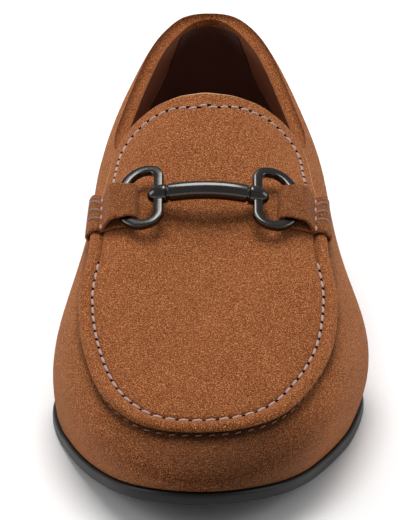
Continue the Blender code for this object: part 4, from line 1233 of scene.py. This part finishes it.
def make_tab(name, side, across_steps=ACROSS_TAB, along_steps=76):
    """Suede strap, folded round the ring's arc and sewn down over the lip."""
    lines = [tab_line(side, across) for across in np.linspace(-1, 1, across_steps)]
    dent = np.array([line[SEAM_POINT] for line in lines])
    middle = np.array([smooth_line(line, along_steps) for line in lines])
    across = unit(np.gradient(middle, axis=0))
    normal = unit(np.cross(unit(np.gradient(middle, axis=1)), across)) * side
    _, _, out, face = ring_frame(side)
    if (normal[:, -1] @ face).mean() < 0:
        normal = -normal
    half = TAB_LEATHER / 2
    shrink = np.zeros(across_steps)
    shrink[0], shrink[-1] = TAB_EDGE_ROUNDING, -TAB_EDGE_ROUNDING
    solid = Solid()
    loops = []
    for k in range(along_steps):
        m, n = middle[:, k], normal[:, k]
        drawn_in = across[:, k] * shrink[:, None]
        top, under = m + n * half + drawn_in, m - n * half + drawn_in
        sides = [m[-1] + n[-1] * half * 0.6, m[-1] - n[-1] * half * 0.6]
        others = [m[0] - n[0] * half * 0.6, m[0] + n[0] * half * 0.6]
        # painted shade: in the seam, where the fold faces the ring's inside, along the strap's sides and over its
        # underside
        seam_shade = 0.5 * np.exp(-(np.linalg.norm(m - dent, axis=1) / (0.9 * MM)) ** 2)
        fold_shade = 0.8 * smooth_step(-(n @ out), 0.35, 0.95)
        mark = [*-np.maximum(seam_shade, fold_shade), -0.2, -0.2, *[-0.4] * across_steps, -0.2, -0.2]
        loops.append(solid.add(np.concatenate([top, sides, under[::-1], others]), mark))
    solid.grid(loops, closed=True)
    for loop in (loops[0], loops[-1]):
        top, under = loop[:across_steps], loop[across_steps + 2:2 * across_steps + 2][::-1]
        solid.grid([top, under], closed=False)
        solid.faces.append((top[-1], loop[across_steps], loop[across_steps + 1], under[-1]))
        solid.faces.append((top[0], loop[-1], loop[-2], under[0]))
    settle(solid.make(name, suede_material(), 50), "suede", name.replace("strap", "tab"))


def make_whip_stitches():
    """Three threads over the lip at each strap's end, and the apron's row running on over the strap."""
    sizes = bpy.context.scene.loafer_sizes
    for name, side in (("medial", -1), ("lateral", 1)):
        lines = []
        along = np.linspace(0, 1, 16)
        for across in (-0.42, 0.06, 0.54):
            line = tab_line(side, across)
            fine = smooth_line(line, 240)
            start, stop = (np.argmin(np.linalg.norm(fine - line[k], axis=1)) for k in
                           (SEAM_POINT, SEAM_POINT + LIP_POINTS))
            middle = fine[(start + (stop - start) * along).round().astype(int)]
            normal = normal_beside(side, middle)
            lift = TAB_LEATHER / 2 + 0.12 * MM - 0.8 * MM * (2 * along - 1) ** 8
            lines.append((middle + normal * lift[:, None], normal))
        thread = thread_material("strap_thread", color_of("strap_thread"))
        make_row("whip_stitches_" + name, lines, thread_tree(), thread, "suede", thread_radius=sizes.thread * 0.36)
        middle = np.array([tab_line(side, across)[SEAM_POINT] for across in np.linspace(-1, 1, ACROSS_TAB)[2:-2]])
        normal = normal_beside(side, middle)
        line = (middle + normal * (TAB_LEATHER / 2 + 0.05 * MM), normal)
        make_row("stitches_strap_" + name, [line], stitch_tree(), thread_material("apron_thread", color_of("thread")),
                 "suede", pitch=sizes.toe_pitch, stitch_length=sizes.toe_pitch * 0.6,
                 thread_radius=sizes.thread * 0.4, rise=0.2 * MM, seed=sizes.seed)


def normal_beside(side, points):
    """The form's normals where it is nearest to the given points, on the strap's side."""
    shares, vs = np.meshgrid(np.linspace(0.52, 0.72, 61), np.linspace(0.95, 1.5, 56), indexing="ij")
    turns, vs = turn_on(side, shares.ravel()), vs.ravel()
    spots = outer_form(turns, vs)
    found = [int(np.argmin(((spots - p) ** 2).sum(1))) for p in points]
    return unit(form_normal(turns[found], vs[found]))


class LoaferColors(bpy.types.PropertyGroup):
    """Colours of the shoe."""

    def color(name, code, words):
        return FloatVectorProperty(name=name, description=words, subtype="COLOR", size=4, min=0, max=1,
                                   default=hex_color(code))

    suede: color("Suede", "#8F502B", "Suede where the nap stands")
    suede_dark: color("Suede, brushed", "#7A401E", "Suede where the nap lies away from the light")
    suede_light: color("Suede tips", "#C98A57", "Tips of the nap")
    suede_pits: color("Suede pits", "#54290F", "Between the tufts of the nap")
    cut_edge: color("Cut edge", "#DDB48C", "Raw edge of the suede")
    lining: color("Lining", "#A06A50", "Smooth leather inside")
    grip: color("Heel grip", "#5E3A2E", "Grip inside the heel")
    rubber: color("Sole", "#0F0F10", "Sole and heel")
    gunmetal: color("Bit", "#514F4D", "Plated metal of the bit")
    thread: color("Thread", "#C4A093", "Thread of the apron and the tongue")
    strap_thread: color("Strap thread", "#94705F", "Thread of the straps")


class LoaferSizes(bpy.types.PropertyGroup):
    """Sizes of the stitching."""

    toe_pitch: FloatProperty(name="Toe stitch", description="Pitch of the row round the toe", default=4.4 * MM,
                             unit="LENGTH")
    tongue_pitch: FloatProperty(name="Tongue stitch", description="Pitch of the row round the tongue",
                                default=3.9 * MM, unit="LENGTH")
    thread: FloatProperty(name="Thread", description="Thickness of the apron's thread", default=1.3 * MM,
                          unit="LENGTH")
    seed: IntProperty(name="Seed", description="Seed of the stitches' unevenness", default=4)


class LoaferOperator(bpy.types.Operator):
    """Base of the operators that make the shoe's pieces."""

    bl_options = {"REGISTER"}


class LOAFER_OT_sole(LoaferOperator):
    """Makes the outsole, the heel and its top piece, and the insole's sock"""

    bl_idname = "loafer.sole"
    bl_label = "Sole and heel"

    def execute(self, context):
        make_outsole()
        make_heel_part("heel_block", "heel",
                       ((0.3, 6.35), (0.06, 6.5), (0.0, 6.8), (0.0, 12.0), (0.0, 18.3), (0.2, 18.7)))
        make_heel_part("heel_top_piece", "top_piece",
                       ((0.7, 0.0), (0.35, 0.08), (0.1, 0.3), (0.0, 0.65), (0.0, 5.5), (0.08, 5.85), (0.3, 6.0)))
        make_insole_sock()
        return {"FINISHED"}


class LOAFER_OT_upper(LoaferOperator):
    """Makes the suede wall with its rolled topline, the lining and the heel grip"""

    bl_idname = "loafer.upper"
    bl_label = "Upper and lining"

    def execute(self, context):
        make_suede_upper()
        make_side_lining()
        make_heel_grip()
        return {"FINISHED"}


class LOAFER_OT_apron(LoaferOperator):
    """Makes the apron with its lip and the tongue"""

    bl_idname = "loafer.apron"
    bl_label = "Apron and tongue"

    def execute(self, context):
        make_apron()
        return {"FINISHED"}


class LOAFER_OT_stitches(LoaferOperator):
    """Makes the stitch rows of apron, tongue and heel grip"""

    bl_idname = "loafer.stitches"
    bl_label = "Stitches"

    def execute(self, context):
        make_seam_rows()
        make_lining_rows()
        return {"FINISHED"}


class LOAFER_OT_straps(LoaferOperator):
    """Makes the two folded straps and the threads that hold them"""

    bl_idname = "loafer.straps"
    bl_label = "Straps"

    def execute(self, context):
        make_tab("strap_medial", -1)
        make_tab("strap_lateral", 1)
        make_whip_stitches()
        return {"FINISHED"}


class LOAFER_OT_bit(LoaferOperator):
    """Makes the two rings and the bar of the bit"""

    bl_idname = "loafer.bit"
    bl_label = "Bit"

    def execute(self, context):
        make_ring("ring_medial", -1)
        make_ring("ring_lateral", 1)
        make_bar()
        return {"FINISHED"}


class LOAFER_OT_stage(LoaferOperator):
    """Makes the floor, the lights, the sky and the camera"""

    bl_idname = "loafer.stage"
    bl_label = "Stage"

    def execute(self, context):
        make_stage(context.scene)
        return {"FINISHED"}


class LOAFER_PT_panel(bpy.types.Panel):
    """Sidebar panel with the shoe's sizes, colours and pieces"""

    bl_idname = "LOAFER_PT_panel"
    bl_label = "Loafer"
    bl_space_type = "VIEW_3D"
    bl_region_type = "UI"
    bl_category = "Loafer"

    def draw(self, context):
        for group in (context.scene.loafer_sizes, context.scene.loafer_colors):
            for key in group.__annotations__:
                self.layout.prop(group, key)
        for operator in OPERATORS:
            self.layout.operator(operator.bl_idname)


OPERATORS = (LOAFER_OT_sole, LOAFER_OT_upper, LOAFER_OT_apron, LOAFER_OT_stitches, LOAFER_OT_straps, LOAFER_OT_bit,
             LOAFER_OT_stage)
CLASSES = (LoaferColors, LoaferSizes, *OPERATORS, LOAFER_PT_panel)


def add_light(name, size, energy, location, target=(0.0, 0.0, 0.04)):
    """A square area light that looks at the target."""
    lamp = bpy.data.lights.new(name, "AREA")
    lamp.size = size
    lamp.energy = energy
    light = bpy.data.objects.new(name, lamp)
    bpy.context.scene.collection.objects.link(light)
    light.location = location
    way = light.location - type(light.location)(target)
    light.rotation_euler = way.to_track_quat("Z", "Y").to_euler()


def make_stage(scene):
    """Pale floor, soft light from above and both sides, and the camera at the photograph's angle."""
    floor = Solid()
    reach = 6.0
    corners = floor.add([(x * reach, y * reach, 0) for x, y in ((-1, -1), (1, -1), (1, 1), (-1, 1))])
    floor.faces.append(tuple(corners))
    board = floor.make("floor_board", floor_material())
    world = bpy.data.worlds.new("studio")
    scene.world = world
    world.use_nodes = True
    sky = world.node_tree.nodes["Background"]
    sky.inputs["Color"].default_value = hex_color("#FFFFFF")
    sky.inputs["Strength"].default_value = 0.32
    add_light("overhead", 0.8, 16.0, (-0.05, 0.30, 1.3))
    add_light("left_side", 0.6, 3.8, (-1.1, 0.05, 0.55))
    add_light("right_side", 0.6, 3.0, (1.1, 0.05, 0.55))
    scene.view_settings.view_transform = "Standard"
    scene.view_settings.look = "None"
    lens = bpy.data.cameras.new("camera")
    lens.sensor_width = 36.0
    lens.lens = 248.9
    lens.clip_start, lens.clip_end = 0.05, 50.0
    camera = bpy.data.objects.new("camera", lens)
    scene.collection.objects.link(camera)
    camera.location = (-0.00054, -1.2062, 0.5490)
    camera.rotation_euler = (math.pi / 2 - 0.40105, 0.0, 0.0)
    scene.camera = camera


def register():
    for kind in CLASSES:
        bpy.utils.register_class(kind)
    bpy.types.Scene.loafer_colors = PointerProperty(type=LoaferColors)
    bpy.types.Scene.loafer_sizes = PointerProperty(type=LoaferSizes)


def unregister():
    del bpy.types.Scene.loafer_sizes
    del bpy.types.Scene.loafer_colors
    for kind in reversed(CLASSES):
        bpy.utils.unregister_class(kind)


def main():
    register()
    for operator in OPERATORS:
        getattr(bpy.ops.loafer, operator.bl_idname.split(".")[1])()


if __name__ == "__main__":
    main()
